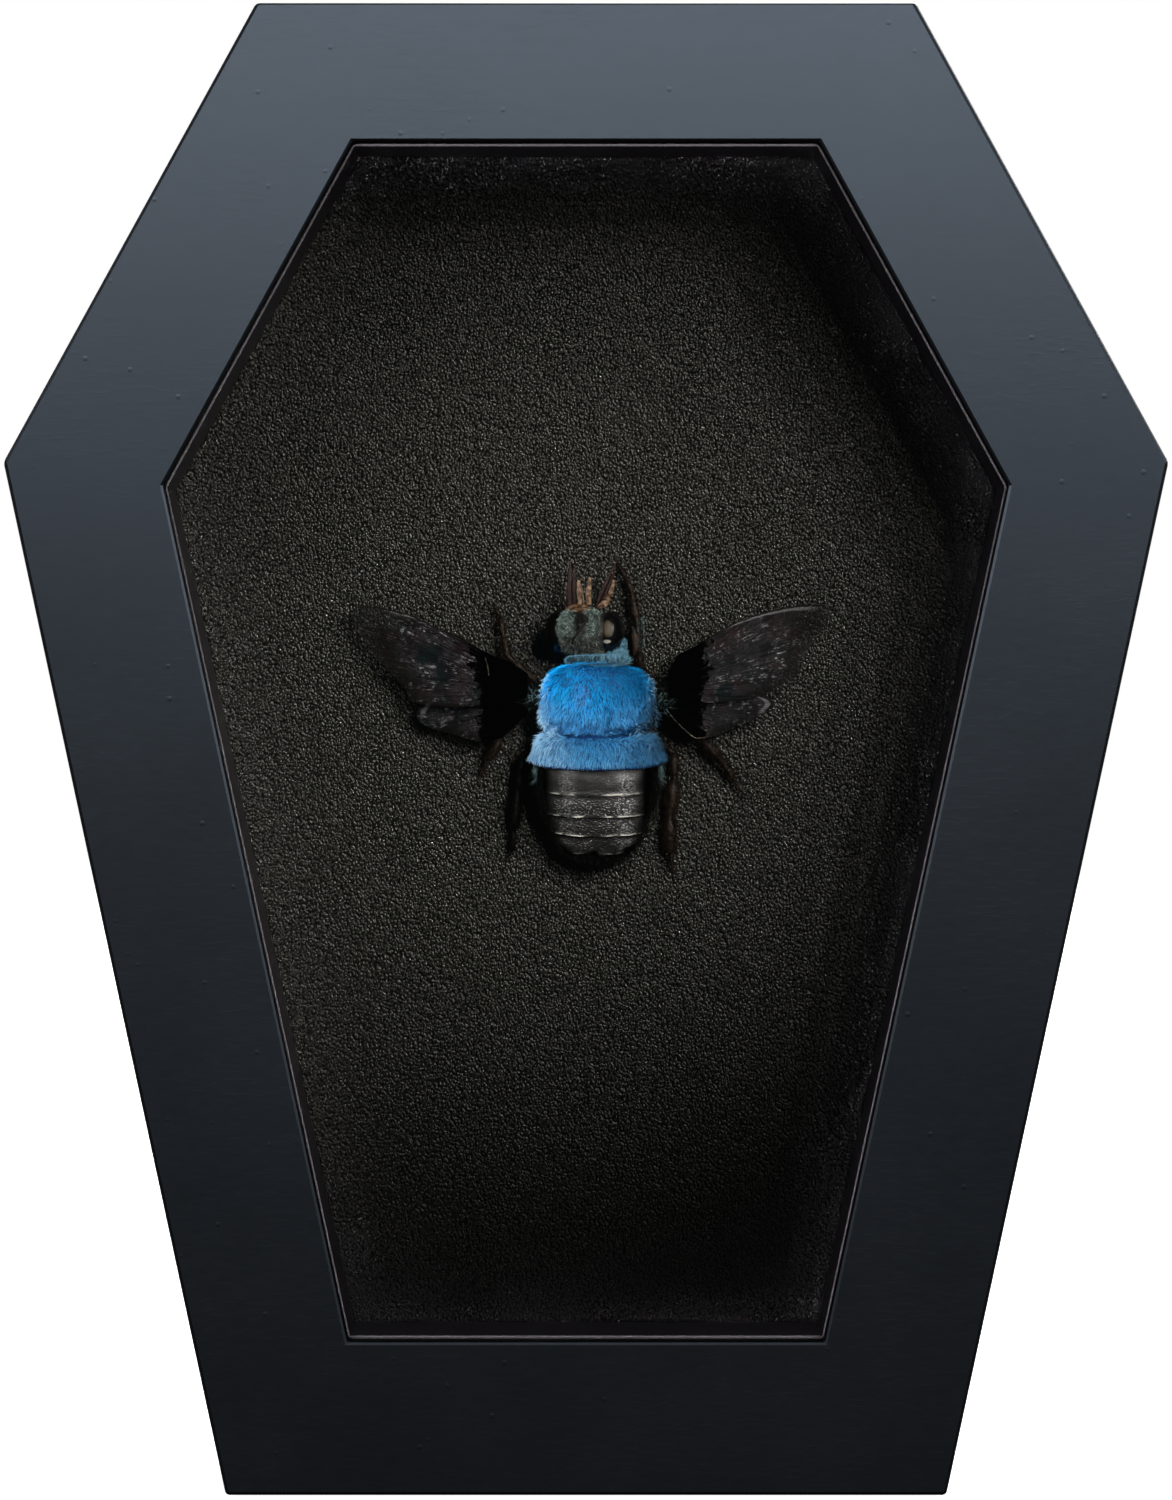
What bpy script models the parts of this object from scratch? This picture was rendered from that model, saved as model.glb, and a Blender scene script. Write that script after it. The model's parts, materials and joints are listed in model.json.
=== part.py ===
"""A carpenter bee mounted in a coffin-shaped display case.

The case stands on its foot with its glazed front facing -Y, +X to the right and +Z up.
The origin is the middle of the foot. Sizes are written in millimetres times MM.
"""
import math

import bmesh
import bpy
from mathutils import Matrix, Vector

MM = 0.001
GAP = 0.3 * MM                  # clearance between pieces that touch

# Case: outer size of the coffin outline, and the rails left around its window
HEIGHT = 152.4 * MM
SHOULDER_WIDTH = 119.0 * MM
SHOULDER_HEIGHT = 105.5 * MM
HEAD_WIDTH = 67.4 * MM
FOOT_WIDTH = 73.6 * MM
DEPTH = 26.0 * MM
SIDE_RAIL = 15.5 * MM
HEAD_RAIL = 14.2 * MM
FOOT_RAIL = 15.7 * MM

# Case: layers from front to back
FASCIA = 3.2 * MM
GLASS = 2.0 * MM
WELL_DEPTH = 20.0 * MM          # front face to the face of the backing card
CARD = 2.0 * MM
BOARD = 3.2 * MM
REBATE = 3.0 * MM               # how far glass, card and board reach behind the rails
EDGE_ROUND = 0.35 * MM

FRONT_Y = -DEPTH / 2
CARD_Y = FRONT_Y + WELL_DEPTH

# Bee: where the middle of its thorax lies, and the sizes of its body
BEE_X = 1.25 * MM
BEE_Z = 80.9 * MM
THORAX_HALF = (6.75 * MM, 4.45 * MM, 4.15 * MM)
THORAX_HEIGHT = 5.0 * MM        # middle of the thorax in front of the card
HEAD_HALF = (3.75 * MM, 2.95 * MM, 2.8 * MM)
HEAD_TURN = math.radians(14)
EYE_HALF = (1.2 * MM, 1.75 * MM, 2.1 * MM)
ABDOMEN_TILT = math.radians(11)
ABDOMEN_FLATNESS = 0.64
WING_THICKNESS = 0.14 * MM


def clear_scene():
    for item in list(bpy.data.objects):
        bpy.data.objects.remove(item, do_unlink=True)


def new_collection(name):
    group = bpy.data.collections.new(name)
    bpy.context.scene.collection.children.link(group)
    return group


def material(name, colour, roughness, metallic=0.0, alpha=1.0):
    made = bpy.data.materials.new(name)
    made.use_nodes = True
    shader = made.node_tree.nodes["Principled BSDF"]
    shader.inputs["Base Color"].default_value = (*colour, 1.0)
    shader.inputs["Roughness"].default_value = roughness
    shader.inputs["Metallic"].default_value = metallic
    shader.inputs["Alpha"].default_value = alpha
    return made


def add_object(name, data, group, finish=None):
    item = bpy.data.objects.new(name, data)
    group.objects.link(item)
    if finish is not None:
        data.materials.append(finish)
    if group is cutters:
        item.hide_render = True
        item.display_type = "WIRE"
    return item


def mesh_object(name, shape, group, finish=None, smooth_angle=35):
    """Turn a bmesh into an object, shaded smooth except across sharp edges."""
    bmesh.ops.recalc_face_normals(shape, faces=shape.faces)
    data = bpy.data.meshes.new(name)
    shape.to_mesh(data)
    shape.free()
    data.shade_smooth()
    data.set_sharp_from_angle(angle=math.radians(smooth_angle))
    return add_object(name, data, group, finish)


def curve_to_mesh(curve_object, name, group, finish=None):
    """Replace a filled curve with a closed mesh that keeps its place."""
    bpy.context.view_layer.update()
    graph = bpy.context.evaluated_depsgraph_get()
    data = bpy.data.meshes.new_from_object(curve_object.evaluated_get(graph))
    shape = bmesh.new()
    shape.from_mesh(data)
    bpy.data.meshes.remove(data)
    bmesh.ops.remove_doubles(shape, verts=shape.verts, dist=0.001 * MM)
    place = curve_object.matrix_world.copy()
    curve_data = curve_object.data
    bpy.data.objects.remove(curve_object, do_unlink=True)
    bpy.data.curves.remove(curve_data)
    made = mesh_object(name, shape, group, finish)
    made.matrix_world = place
    return made


def boolean(target, tool, operation):
    step = target.modifiers.new(operation.title() + " " + tool.name, "BOOLEAN")
    step.operation = operation
    step.solver = "EXACT"
    step.object = tool


def bevel(target, width, segments=2):
    step = target.modifiers.new("Round edges", "BEVEL")
    step.width = width
    step.segments = segments
    step.limit_method = "ANGLE"
    step.angle_limit = math.radians(20)


# Case

def offset_line(start, end, distance):
    """A line moved sideways into the coffin, as a point on it and its direction."""
    along = (Vector(end) - Vector(start)).normalized()
    inward = Vector((-along.y, along.x))
    return Vector(start) + inward * distance, along


def meet(line_a, line_b):
    (point_a, along_a), (point_b, along_b) = line_a, line_b
    between = point_b - point_a
    turn = along_a.x * along_b.y - along_a.y * along_b.x
    reach = (between.x * along_b.y - between.y * along_b.x) / turn
    return point_a + along_a * reach


def coffin(side=0.0, head=0.0, foot=0.0):
    """The six corners of the coffin outline, set in by the given widths."""
    corners = [
        (-FOOT_WIDTH / 2, 0.0), (FOOT_WIDTH / 2, 0.0), (SHOULDER_WIDTH / 2, SHOULDER_HEIGHT),
        (HEAD_WIDTH / 2, HEIGHT), (-HEAD_WIDTH / 2, HEIGHT), (-SHOULDER_WIDTH / 2, SHOULDER_HEIGHT),
    ]
    widths = [foot, side, side, head, side, side]
    lines = [offset_line(corners[i], corners[(i + 1) % 6], widths[i]) for i in range(6)]
    return [meet(lines[i - 1], lines[i]) for i in range(6)]


def window(grow=0.0):
    return coffin(SIDE_RAIL - grow, HEAD_RAIL - grow, FOOT_RAIL - grow)


def slab(name, outline, front, back, group, finish=None):
    """A flat outline in X and Z, made solid from the front y to the back y."""
    data = bpy.data.curves.new(name, "CURVE")
    data.dimensions = "2D"
    data.fill_mode = "BOTH"
    data.extrude = (back - front) / 2
    line = data.splines.new("POLY")
    line.points.add(len(outline) - 1)
    for point, (x, z) in zip(line.points, outline):
        point.co = (x, z, 0.0, 1.0)
    line.use_cyclic_u = True
    flat = bpy.data.objects.new(name, data)
    group.objects.link(flat)
    flat.rotation_euler = (math.pi / 2, 0.0, 0.0)
    flat.location = (0.0, (front + back) / 2, 0.0)
    return curve_to_mesh(flat, name, group, finish)


def build_case():
    paint = material("black painted wood", (0.012, 0.013, 0.015), 0.5)
    fascia_back = FRONT_Y + FASCIA
    rim_front = fascia_back + GAP
    clear = DEPTH                # cutters run well past what they cut

    fascia = slab("front_fascia", coffin(), FRONT_Y, fascia_back, parts, paint)
    boolean(fascia, slab("window_cutter", window(), -clear, clear, cutters), "DIFFERENCE")
    bevel(fascia, EDGE_ROUND)

    rim = slab("box_rim", coffin(), rim_front, DEPTH / 2, parts, paint)
    well = slab("well_cutter", window(), -clear, clear, cutters)
    glass_pocket = slab("glass_pocket_cutter", window(REBATE + GAP), -clear,
                        rim_front + GLASS + GAP, cutters)
    back_pocket = slab("back_pocket_cutter", window(REBATE + GAP), CARD_Y - GAP, clear, cutters)
    for cutter in (well, glass_pocket, back_pocket):
        boolean(rim, cutter, "DIFFERENCE")
    bevel(rim, EDGE_ROUND)

    glass = material("clear glass", (0.9, 0.93, 0.92), 0.05, alpha=0.15)
    slab("glass_pane", window(REBATE), rim_front, rim_front + GLASS, parts, glass)

    leatherette = material("black grained leatherette", (0.02, 0.02, 0.02), 0.45)
    slab("backing_card", window(REBATE), CARD_Y, CARD_Y + CARD, parts, leatherette)

    board = material("black fibreboard", (0.02, 0.02, 0.02), 0.8)
    board_front = CARD_Y + CARD + GAP
    slab("back_board", window(REBATE), board_front, board_front + BOARD, parts, board)


# Bee: places are written as across, up and out from the card, in millimetres

def on_bee(across, up, out):
    return Vector((BEE_X + across * MM, CARD_Y - out * MM, BEE_Z + up * MM))


def signed_power(value, power):
    return math.copysign(abs(value) ** power, value)


def rounded_form(name, centre, half, roundness, group, finish=None, detail=(22, 14), turn=0.0,
                 flare=0.0):
    """A sphere pulled towards a box below roundness 1, and widened downwards by the flare."""
    shape = bmesh.new()
    bmesh.ops.create_uvsphere(shape, u_segments=detail[0], v_segments=detail[1], radius=1.0)
    for vert in shape.verts:
        spread = 1.0 - flare * vert.co.z
        vert.co = Vector((
            half[0] * spread * signed_power(vert.co.x, roundness),
            half[1] * signed_power(vert.co.y, roundness),
            half[2] * signed_power(vert.co.z, roundness),
        ))
    made = mesh_object(name, shape, group, finish)
    made.location = centre
    made.rotation_euler = (0.0, 0.0, turn)
    return made


def swept_limb(name, route, finish, flatness=1.0):
    """A limb through points of across, up, out and radius, flattened towards the card."""
    data = bpy.data.curves.new(name, "CURVE")
    data.dimensions = "3D"
    data.bevel_depth = MM
    data.bevel_resolution = 2
    data.use_fill_caps = True
    line = data.splines.new("POLY")
    line.points.add(len(route) - 1)
    for point, (across, up, out, radius) in zip(line.points, route):
        point.co = (*on_bee(across, up, out), 1.0)
        point.radius = radius
    limb = bpy.data.objects.new(name, data)
    parts.objects.link(limb)
    made = curve_to_mesh(limb, name, parts, finish)
    if flatness != 1.0:
        middle = on_bee(0.0, 0.0, sum(point[2] for point in route) / len(route)).y
        squash = Matrix.Translation((0, middle, 0)) @ Matrix.Diagonal((1, flatness, 1, 1))
        made.data.transform(squash @ Matrix.Translation((0, -middle, 0)))
    return made


def build_head():
    chitin = material("dark face with grey pile", (0.12, 0.15, 0.15), 0.7)
    centre = on_bee(-1.3, 7.3, 4.9)
    head = rounded_form("head", centre, HEAD_HALF, 0.85, parts, chitin, turn=-HEAD_TURN)
    turned = Matrix.Rotation(-HEAD_TURN, 3, "Z")
    for side, name in ((-1, "left_eye"), (1, "right_eye")):
        offset = turned @ Vector((side * 2.95 * MM, -0.35 * MM, 0.05 * MM))
        eye = rounded_form(name, centre + offset, EYE_HALF, 1.0, cutters, detail=(16, 10),
                           turn=-HEAD_TURN)
        boolean(head, eye, "UNION")
    lip = rounded_form("upper_lip", on_bee(-2.0, 9.55, 6.0), (1.5 * MM, 0.8 * MM, 0.55 * MM), 0.9,
                       cutters, detail=(12, 8), turn=-HEAD_TURN)
    boolean(head, lip, "UNION")


def build_mouthparts():
    dark = material("dark red-brown chitin", (0.05, 0.018, 0.014), 0.3)
    golden = material("golden chitin", (0.35, 0.25, 0.15), 0.4)
    swept_limb("galea_left", [(-2.75, 10.3, 5.2, 0.48), (-2.75, 12.0, 5.2, 0.46),
                              (-2.80, 13.6, 5.1, 0.34), (-2.75, 15.0, 5.0, 0.10)], dark, 0.5)
    swept_limb("galea_right", [(0.00, 10.4, 5.2, 0.30), (0.80, 12.2, 5.2, 0.30),
                               (1.50, 13.6, 5.1, 0.22), (2.05, 14.9, 5.0, 0.08)], dark, 0.6)
    swept_limb("palp_left", [(-1.75, 10.35, 5.6, 0.22), (-1.85, 11.6, 5.6, 0.28),
                             (-1.95, 12.8, 5.5, 0.24)], golden, 0.5)
    swept_limb("palp_right", [(1.10, 10.9, 4.7, 0.40), (1.45, 11.9, 4.7, 0.48),
                              (1.75, 12.8, 4.6, 0.36)], golden, 0.5)
    swept_limb("tongue", [(-0.95, 10.35, 5.5, 0.34), (-0.98, 11.6, 5.5, 0.32),
                          (-0.95, 12.4, 5.4, 0.22), (-0.88, 13.0, 5.4, 0.12)], golden, 0.7)
    swept_limb("mandible_right", [(0.45, 9.95, 6.6, 0.26), (0.85, 10.1, 6.6, 0.34),
                                  (1.25, 10.5, 6.5, 0.14)], golden, 0.6)


def build_antennae():
    dark = material("dark brown chitin", (0.03, 0.022, 0.018), 0.35)
    swept_limb("antenna_left", [(-2.70, 6.05, 8.30, 0.12), (-2.30, 6.9, 8.50, 0.15),
                                (-1.30, 8.3, 8.40, 0.14), (-1.10, 8.7, 8.25, 0.13),
                                (-1.75, 9.2, 8.05, 0.16), (-2.60, 9.3, 7.90, 0.10)], dark)
    swept_limb("antenna_right", [(-0.55, 6.05, 8.35, 0.12), (-0.10, 6.9, 8.35, 0.14),
                                 (0.10, 8.0, 8.15, 0.14), (-0.20, 8.9, 7.95, 0.13),
                                 (-0.70, 9.6, 7.70, 0.10)], dark)


def build_thorax():
    pile = material("blue pile", (0.03, 0.16, 0.40), 0.8)
    rounded_form("thorax", on_bee(0.0, 0.15, THORAX_HEIGHT / MM), THORAX_HALF, 0.66, parts, pile,
                 detail=(28, 16), flare=0.05)


def build_abdomen():
    """A turned profile of overlapping rings, flattened and tilted with its tip to the card."""
    shell = material("black glossy chitin", (0.01, 0.01, 0.011), 0.3)
    first_segment = [(0.0, 0.0), (3.6, 0.0), (5.6, -0.3), (6.6, -0.7), (7.1, -1.1),
                     (7.4, -1.6), (7.25, -1.76), (6.3, -1.74)]
    profile = list(first_segment)
    ring_ends = ((6.25, 1.78, 6.15, 4.4), (6.0, 4.5, 5.65, 6.8), (5.45, 6.9, 4.85, 8.9),
                 (4.65, 9.0, 3.75, 11.0))
    for wide, top, narrow, bottom in ring_ends:
        middle = (wide + narrow) / 2 + 0.12
        profile += [(wide, -top), (middle, -(top + bottom) / 2), (narrow, -bottom),
                    (narrow - 0.15, -bottom - 0.04)]
    profile += [(3.3, -11.4), (2.4, -12.1), (1.2, -12.5), (0.0, -12.6)]

    data = bpy.data.meshes.new("abdomen")
    corners = [(across * MM, 0.0, up * MM) for across, up in profile]
    data.from_pydata(corners, [(i, i + 1) for i in range(len(corners) - 1)], [])
    abdomen = add_object("abdomen", data, parts, shell)
    turning = abdomen.modifiers.new("Turned rings", "SCREW")
    turning.steps = turning.render_steps = 28
    turning.use_merge_vertices = True
    turning.merge_threshold = 0.001 * MM
    abdomen.location = on_bee(0.0, -4.6, 5.35)
    abdomen.rotation_euler = (ABDOMEN_TILT, 0.0, 0.0)
    abdomen.scale = (1.0, ABDOMEN_FLATNESS, 1.0)


def smooth_line(points, count):
    """Points evenly spaced by index on a smooth curve through the given ones."""
    line = []
    last = len(points) - 1
    for step in range(count):
        place = step / (count - 1) * last
        index = min(int(place), last - 1)
        part = place - index
        before, start, end, after = (Vector(points[min(max(index + k, 0), last)])
                                     for k in (-1, 0, 1, 2))
        line.append(0.5 * ((2 * start) + (end - before) * part
                           + (2 * before - 5 * start + 4 * end - after) * part ** 2
                           + (3 * start - before - 3 * end + after) * part ** 3))
    return line


def build_wing(name, outline, root, root_out, tip_out, pleats, finish, detail):
    """A fan of rays from the root line to the outline, pleated along its rays."""
    around, along = detail
    edge = smooth_line(outline, around + 1)
    shape = bmesh.new()
    bmesh.ops.create_grid(shape, x_segments=around, y_segments=along, size=1.0)
    span = max(abs(point[0]) for point in outline) - abs(root[0][0])
    for vert in shape.verts:
        turn = round((vert.co.x + 1) / 2 * around)
        ray = (vert.co.y + 1) / 2
        start = Vector(root[0]).lerp(Vector(root[1]), turn / around)
        across, up = start.lerp(edge[turn], ray)
        reach = (abs(across) - abs(root[0][0])) / span
        pleat = 0.17 * math.cos(turn * math.pi * pleats / around * 2) * ray
        vert.co = on_bee(across, up, root_out + (tip_out - root_out) * reach + pleat)
    made = mesh_object(name, shape, parts, finish, smooth_angle=60)
    skin = made.modifiers.new("Membrane", "SOLIDIFY")
    skin.thickness = WING_THICKNESS
    skin.offset = 0.0


def build_wings():
    smoky = material("smoky violet membrane", (0.03, 0.028, 0.04), 0.3)
    build_wing("forewing_left", [
        (-9.0, 4.0), (-11.7, 5.1), (-14.2, 6.6), (-17.0, 7.8), (-20.0, 9.2), (-23.4, 10.0),
        (-25.5, 9.9), (-25.8, 8.4), (-24.0, 5.6), (-21.8, 3.0), (-20.2, 1.5), (-19.3, 0.0),
        (-15.3, -0.5), (-11.2, -0.3),
    ], ((-7.3, 3.0), (-7.3, 0.5)), 6.2, 3.0, 6, smoky, (30, 5))
    build_wing("forewing_right", [
        (8.4, 4.9), (11.0, 6.2), (14.2, 8.2), (17.8, 9.5), (21.4, 10.2), (23.8, 10.2),
        (24.5, 9.1), (23.2, 7.2), (21.5, 4.4), (20.9, 2.9), (18.9, 1.5), (17.9, 0.9),
        (14.9, 0.2), (10.7, -0.1),
    ], ((7.3, 3.2), (7.3, 0.5)), 6.2, 3.0, 6, smoky, (30, 5))
    build_wing("hindwing_left", [
        (-11.2, 0.4), (-16.4, 0.5), (-19.0, -1.0), (-18.1, -2.5), (-15.2, -3.4), (-12.2, -4.2),
        (-10.1, -3.8),
    ], ((-7.3, 0.3), (-7.3, -1.2)), 5.4, 2.7, 4, smoky, (20, 4))
    build_wing("hindwing_right", [
        (10.7, 0.6), (15.4, 1.0), (18.4, 0.0), (17.2, -1.4), (14.8, -2.5), (12.4, -3.5),
        (10.2, -3.8), (9.0, -2.9),
    ], ((7.3, 0.3), (7.3, -1.2)), 5.4, 2.7, 4, smoky, (20, 4))


def leg_route(joints, fullness):
    """Points along a leg, thick in the middle of each segment and pinched at each joint."""
    route = []
    for index, radius in enumerate(fullness):
        start, end = Vector(joints[index]), Vector(joints[index + 1])
        pinch = 0.62 * min(radius, fullness[index - 1] if index else radius)
        route += [(*start, pinch), (*start.lerp(end, 0.28), radius),
                  (*start.lerp(end, 0.75), 0.88 * radius)]
    return route + [(*joints[-1], 0.09)]


def build_legs():
    """Each leg is given by its joints (across, up, out) and the thickness of its segments."""
    bristly = material("brown-black bristly leg", (0.03, 0.02, 0.015), 0.6)
    legs = {
        "foreleg_left": ([(-6.2, 1.8, 1.2), (-9.5, 4.8, 2.1), (-9.9, 6.9, 1.7), (-10.3, 9.0, 1.1),
                          (-10.8, 9.9, 0.7)], (0.60, 0.62, 0.55, 0.30)),
        "foreleg_right": ([(4.6, 3.4, 1.2), (4.3, 4.9, 1.7), (4.05, 8.4, 1.7), (3.5, 11.6, 1.4),
                           (2.9, 13.1, 1.1), (2.0, 14.5, 0.8)], (0.60, 0.70, 0.72, 0.55, 0.28)),
        "midleg_left": ([(-6.3, -0.3, 1.2), (-7.6, -0.9, 1.9), (-10.2, -3.7, 2.0),
                         (-11.7, -6.3, 1.3), (-12.3, -7.9, 0.7)], (0.45, 0.42, 0.76, 0.30)),
        "midleg_right": ([(6.3, -0.3, 1.2), (8.6, -2.1, 2.0), (10.9, -3.9, 1.9), (13.1, -6.4, 1.4),
                          (14.4, -8.3, 0.9), (15.2, -9.6, 0.6)], (0.48, 0.55, 0.82, 0.60, 0.18)),
        "hindleg_left": ([(-6.2, -4.3, 0.9), (-7.9, -5.7, 1.4), (-8.5, -9.4, 1.5),
                          (-8.8, -13.6, 1.3), (-9.1, -15.9, 0.7)], (0.60, 1.00, 0.98, 0.48)),
        "hindleg_right": ([(6.3, -4.3, 0.9), (8.0, -5.4, 1.4), (8.0, -8.0, 1.6), (7.5, -12.1, 1.6),
                           (7.5, -16.2, 1.2), (7.9, -17.8, 0.6)], (0.50, 0.66, 1.16, 1.14, 0.22)),
    }
    for name, (joints, fullness) in legs.items():
        swept_limb(name, leg_route(joints, fullness), bristly)


clear_scene()
parts = new_collection("framed_carpenter_bee")
cutters = new_collection("cutters")
build_case()
build_head()
build_mouthparts()
build_antennae()
build_thorax()
build_abdomen()
build_wings()
build_legs()
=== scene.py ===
import json
import math

import bmesh
import bpy
from mathutils import Matrix, Vector, noise

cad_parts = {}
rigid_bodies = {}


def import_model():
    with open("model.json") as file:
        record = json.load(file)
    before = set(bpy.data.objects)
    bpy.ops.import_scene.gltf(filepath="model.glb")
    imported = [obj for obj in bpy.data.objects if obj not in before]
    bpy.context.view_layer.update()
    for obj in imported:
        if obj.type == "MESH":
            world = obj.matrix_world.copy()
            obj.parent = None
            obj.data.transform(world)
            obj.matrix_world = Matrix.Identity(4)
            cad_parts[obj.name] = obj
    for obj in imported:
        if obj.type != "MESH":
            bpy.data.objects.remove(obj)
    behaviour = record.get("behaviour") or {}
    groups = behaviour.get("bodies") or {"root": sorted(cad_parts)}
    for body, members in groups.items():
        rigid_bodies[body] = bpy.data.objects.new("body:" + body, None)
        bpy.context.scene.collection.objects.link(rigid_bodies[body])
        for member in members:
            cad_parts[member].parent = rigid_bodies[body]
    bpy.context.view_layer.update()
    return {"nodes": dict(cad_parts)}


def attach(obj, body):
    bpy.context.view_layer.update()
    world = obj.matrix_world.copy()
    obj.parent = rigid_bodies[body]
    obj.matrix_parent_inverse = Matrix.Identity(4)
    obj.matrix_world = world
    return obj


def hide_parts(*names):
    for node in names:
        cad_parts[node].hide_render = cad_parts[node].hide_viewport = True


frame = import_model()
mm = 0.001
scene = bpy.context.scene
nodes = frame["nodes"]


# Camera: level with the bee, and shifted down so that the case fills the picture
viewpoint = {"away": 683 * mm, "height": 85.6 * mm, "lens": 157.5, "sink": -0.062}

camera = bpy.data.objects.new("camera", bpy.data.cameras.new("camera"))
scene.collection.objects.link(camera)
camera.location = (0.0, -viewpoint["away"], viewpoint["height"])
camera.rotation_euler = (math.pi / 2, 0.0, 0.0)
camera.data.lens = viewpoint["lens"]
camera.data.shift_y = viewpoint["sink"]
camera.data.clip_start, camera.data.clip_end = 0.01, 60.0
scene.camera = camera
print("camera set")


# Tools for node trees
def rgb(red, green, blue):       # a colour picked as 0 to 255, turned linear
    return tuple(c / 3294.6 if c < 10.3 else ((c / 255 + 0.055) / 1.055) ** 2.4
                 for c in (red, green, blue))


def asColour(value):
    return value if isinstance(value, Wire) else (*value, 1.0)


class Wire:
    # A socket that adds and multiplies like a number. node() makes anything else
    def __init__(self, tree, socket=None):
        self.tree, self.socket = tree, socket

    def node(self, kind, settings=None, sockets=None, out=0):
        made = self.tree.nodes.new(kind)
        for key, value in (settings or {}).items():
            setattr(made, key, value)
        for key, value in (sockets or {}).items():
            if isinstance(value, Wire):
                self.tree.links.new(value.socket, made.inputs[key])
            else:
                made.inputs[key].default_value = value
        return Wire(self.tree, made.outputs[out] if made.outputs else None)

    def other(self, out):        # another output of the same node
        return Wire(self.tree, self.socket.node.outputs[out])

    def scaled(self, share):
        return self.node("ShaderNodeVectorMath", {"operation": "SCALE"}, {0: self, "Scale": share})

    def ease(self, low, high, start=0.0, end=1.0):
        return self.node("ShaderNodeMapRange", {"interpolation_type": "SMOOTHSTEP"},
                         {"Value": self, "From Min": low, "From Max": high,
                          "To Min": start, "To Max": end})

    def blend(self, low, high):  # this wire is the share of the second colour
        return self.node("ShaderNodeMix", {"data_type": "RGBA"},
                         {0: self, 6: asColour(low), 7: asColour(high)}, out=2)

    def __add__(self, other):
        return calc("ADD", self, other)

    def __radd__(self, other):
        return calc("ADD", other, self)

    def __sub__(self, other):
        return calc("SUBTRACT", self, other)

    def __rsub__(self, other):
        return calc("SUBTRACT", other, self)

    def __mul__(self, other):
        return calc("MULTIPLY", self, other)

    def __rmul__(self, other):
        return calc("MULTIPLY", other, self)

    def __truediv__(self, other):
        return calc("DIVIDE", self, other)

    def __rtruediv__(self, other):
        return calc("DIVIDE", other, self)


def calc(operation, *terms, kind="ShaderNodeMath", out=0):
    # a Math node on wires and numbers
    wire = next(term for term in terms if isinstance(term, Wire))
    return wire.node(kind, {"operation": operation}, dict(enumerate(terms)), out)


def vector(operation, *terms, out=0):
    return calc(operation, *terms, kind="ShaderNodeVectorMath", out=out)


def square(wire):
    return wire * wire


def grain(place, size, detail=2.0, rough=0.5, stretch=(1, 1, 1), start=(0, 0, 0)):
    # noise with lumps about size across, drawn out along each axis by stretch
    spread = place.node("ShaderNodeMapping", {}, {
        "Vector": place, "Scale": tuple(1 / s for s in stretch), "Location": start})
    return place.node("ShaderNodeTexNoise", {}, {
        "Vector": spread, "Scale": 1 / size, "Detail": detail, "Roughness": rough})


def cells(place, size, feature="F1", stretch=(1, 1, 1), **more):
    spread = place.node("ShaderNodeMapping", {}, {
        "Vector": place, "Scale": tuple(1 / s for s in stretch)})
    return place.node("ShaderNodeTexVoronoi", {"feature": feature},
                      {"Vector": spread, "Scale": 1 / size, **more}, out="Distance")


def bump(height, depth):
    return height.node("ShaderNodeBump", {}, {"Height": height, "Distance": depth})


def axes(place):
    split = place.node("ShaderNodeSeparateXYZ", {}, {0: place})
    return split, split.other("Y"), split.other("Z")


def attribute(place, name):
    return place.node("ShaderNodeAttribute", {"attribute_name": name}, out="Fac")


def newFinish(name, recipe, gloss=0.5):
    # recipe(place) gives the sockets that vary over the surface, and plain numbers for others
    material = bpy.data.materials.new(name)
    material.use_nodes = True
    tree = material.node_tree
    shader = tree.nodes["Principled BSDF"]
    shader.inputs["Specular IOR Level"].default_value = gloss
    place = Wire(tree).node("ShaderNodeTexCoord", out="Object")
    for socket, value in recipe(place).items():
        if isinstance(value, Wire):
            tree.links.new(value.socket, shader.inputs[socket])
        else:
            shader.inputs[socket].default_value = value
    return material


def newTree(name, inputs):
    tree = bpy.data.node_groups.new(name, "GeometryNodeTree")
    kinds = {float: "NodeSocketFloat", int: "NodeSocketInt", tuple: "NodeSocketVector"}
    tree.interface.new_socket("Geometry", in_out="INPUT", socket_type="NodeSocketGeometry")
    for label, value in inputs.items():
        socket = tree.interface.new_socket(label, in_out="INPUT", socket_type=kinds[type(value)])
        socket.default_value = value
    tree.interface.new_socket("Finish", in_out="INPUT", socket_type="NodeSocketMaterial")
    tree.interface.new_socket("Geometry", in_out="OUTPUT", socket_type="NodeSocketGeometry")
    source = tree.nodes.new("NodeGroupInput")
    return tree, {socket.name: Wire(tree, socket) for socket in source.outputs}


def endTree(shape, finish):
    real = shape.node("GeometryNodeRealizeInstances", {}, {"Geometry": shape})
    smooth = real.node("GeometryNodeSetShadeSmooth", {}, {"Geometry": real, "Shade Smooth": True})
    done = smooth.node("GeometryNodeSetMaterial", {}, {"Geometry": smooth, "Material": finish})
    done.node("NodeGroupOutput", {}, {"Geometry": done})


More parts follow.
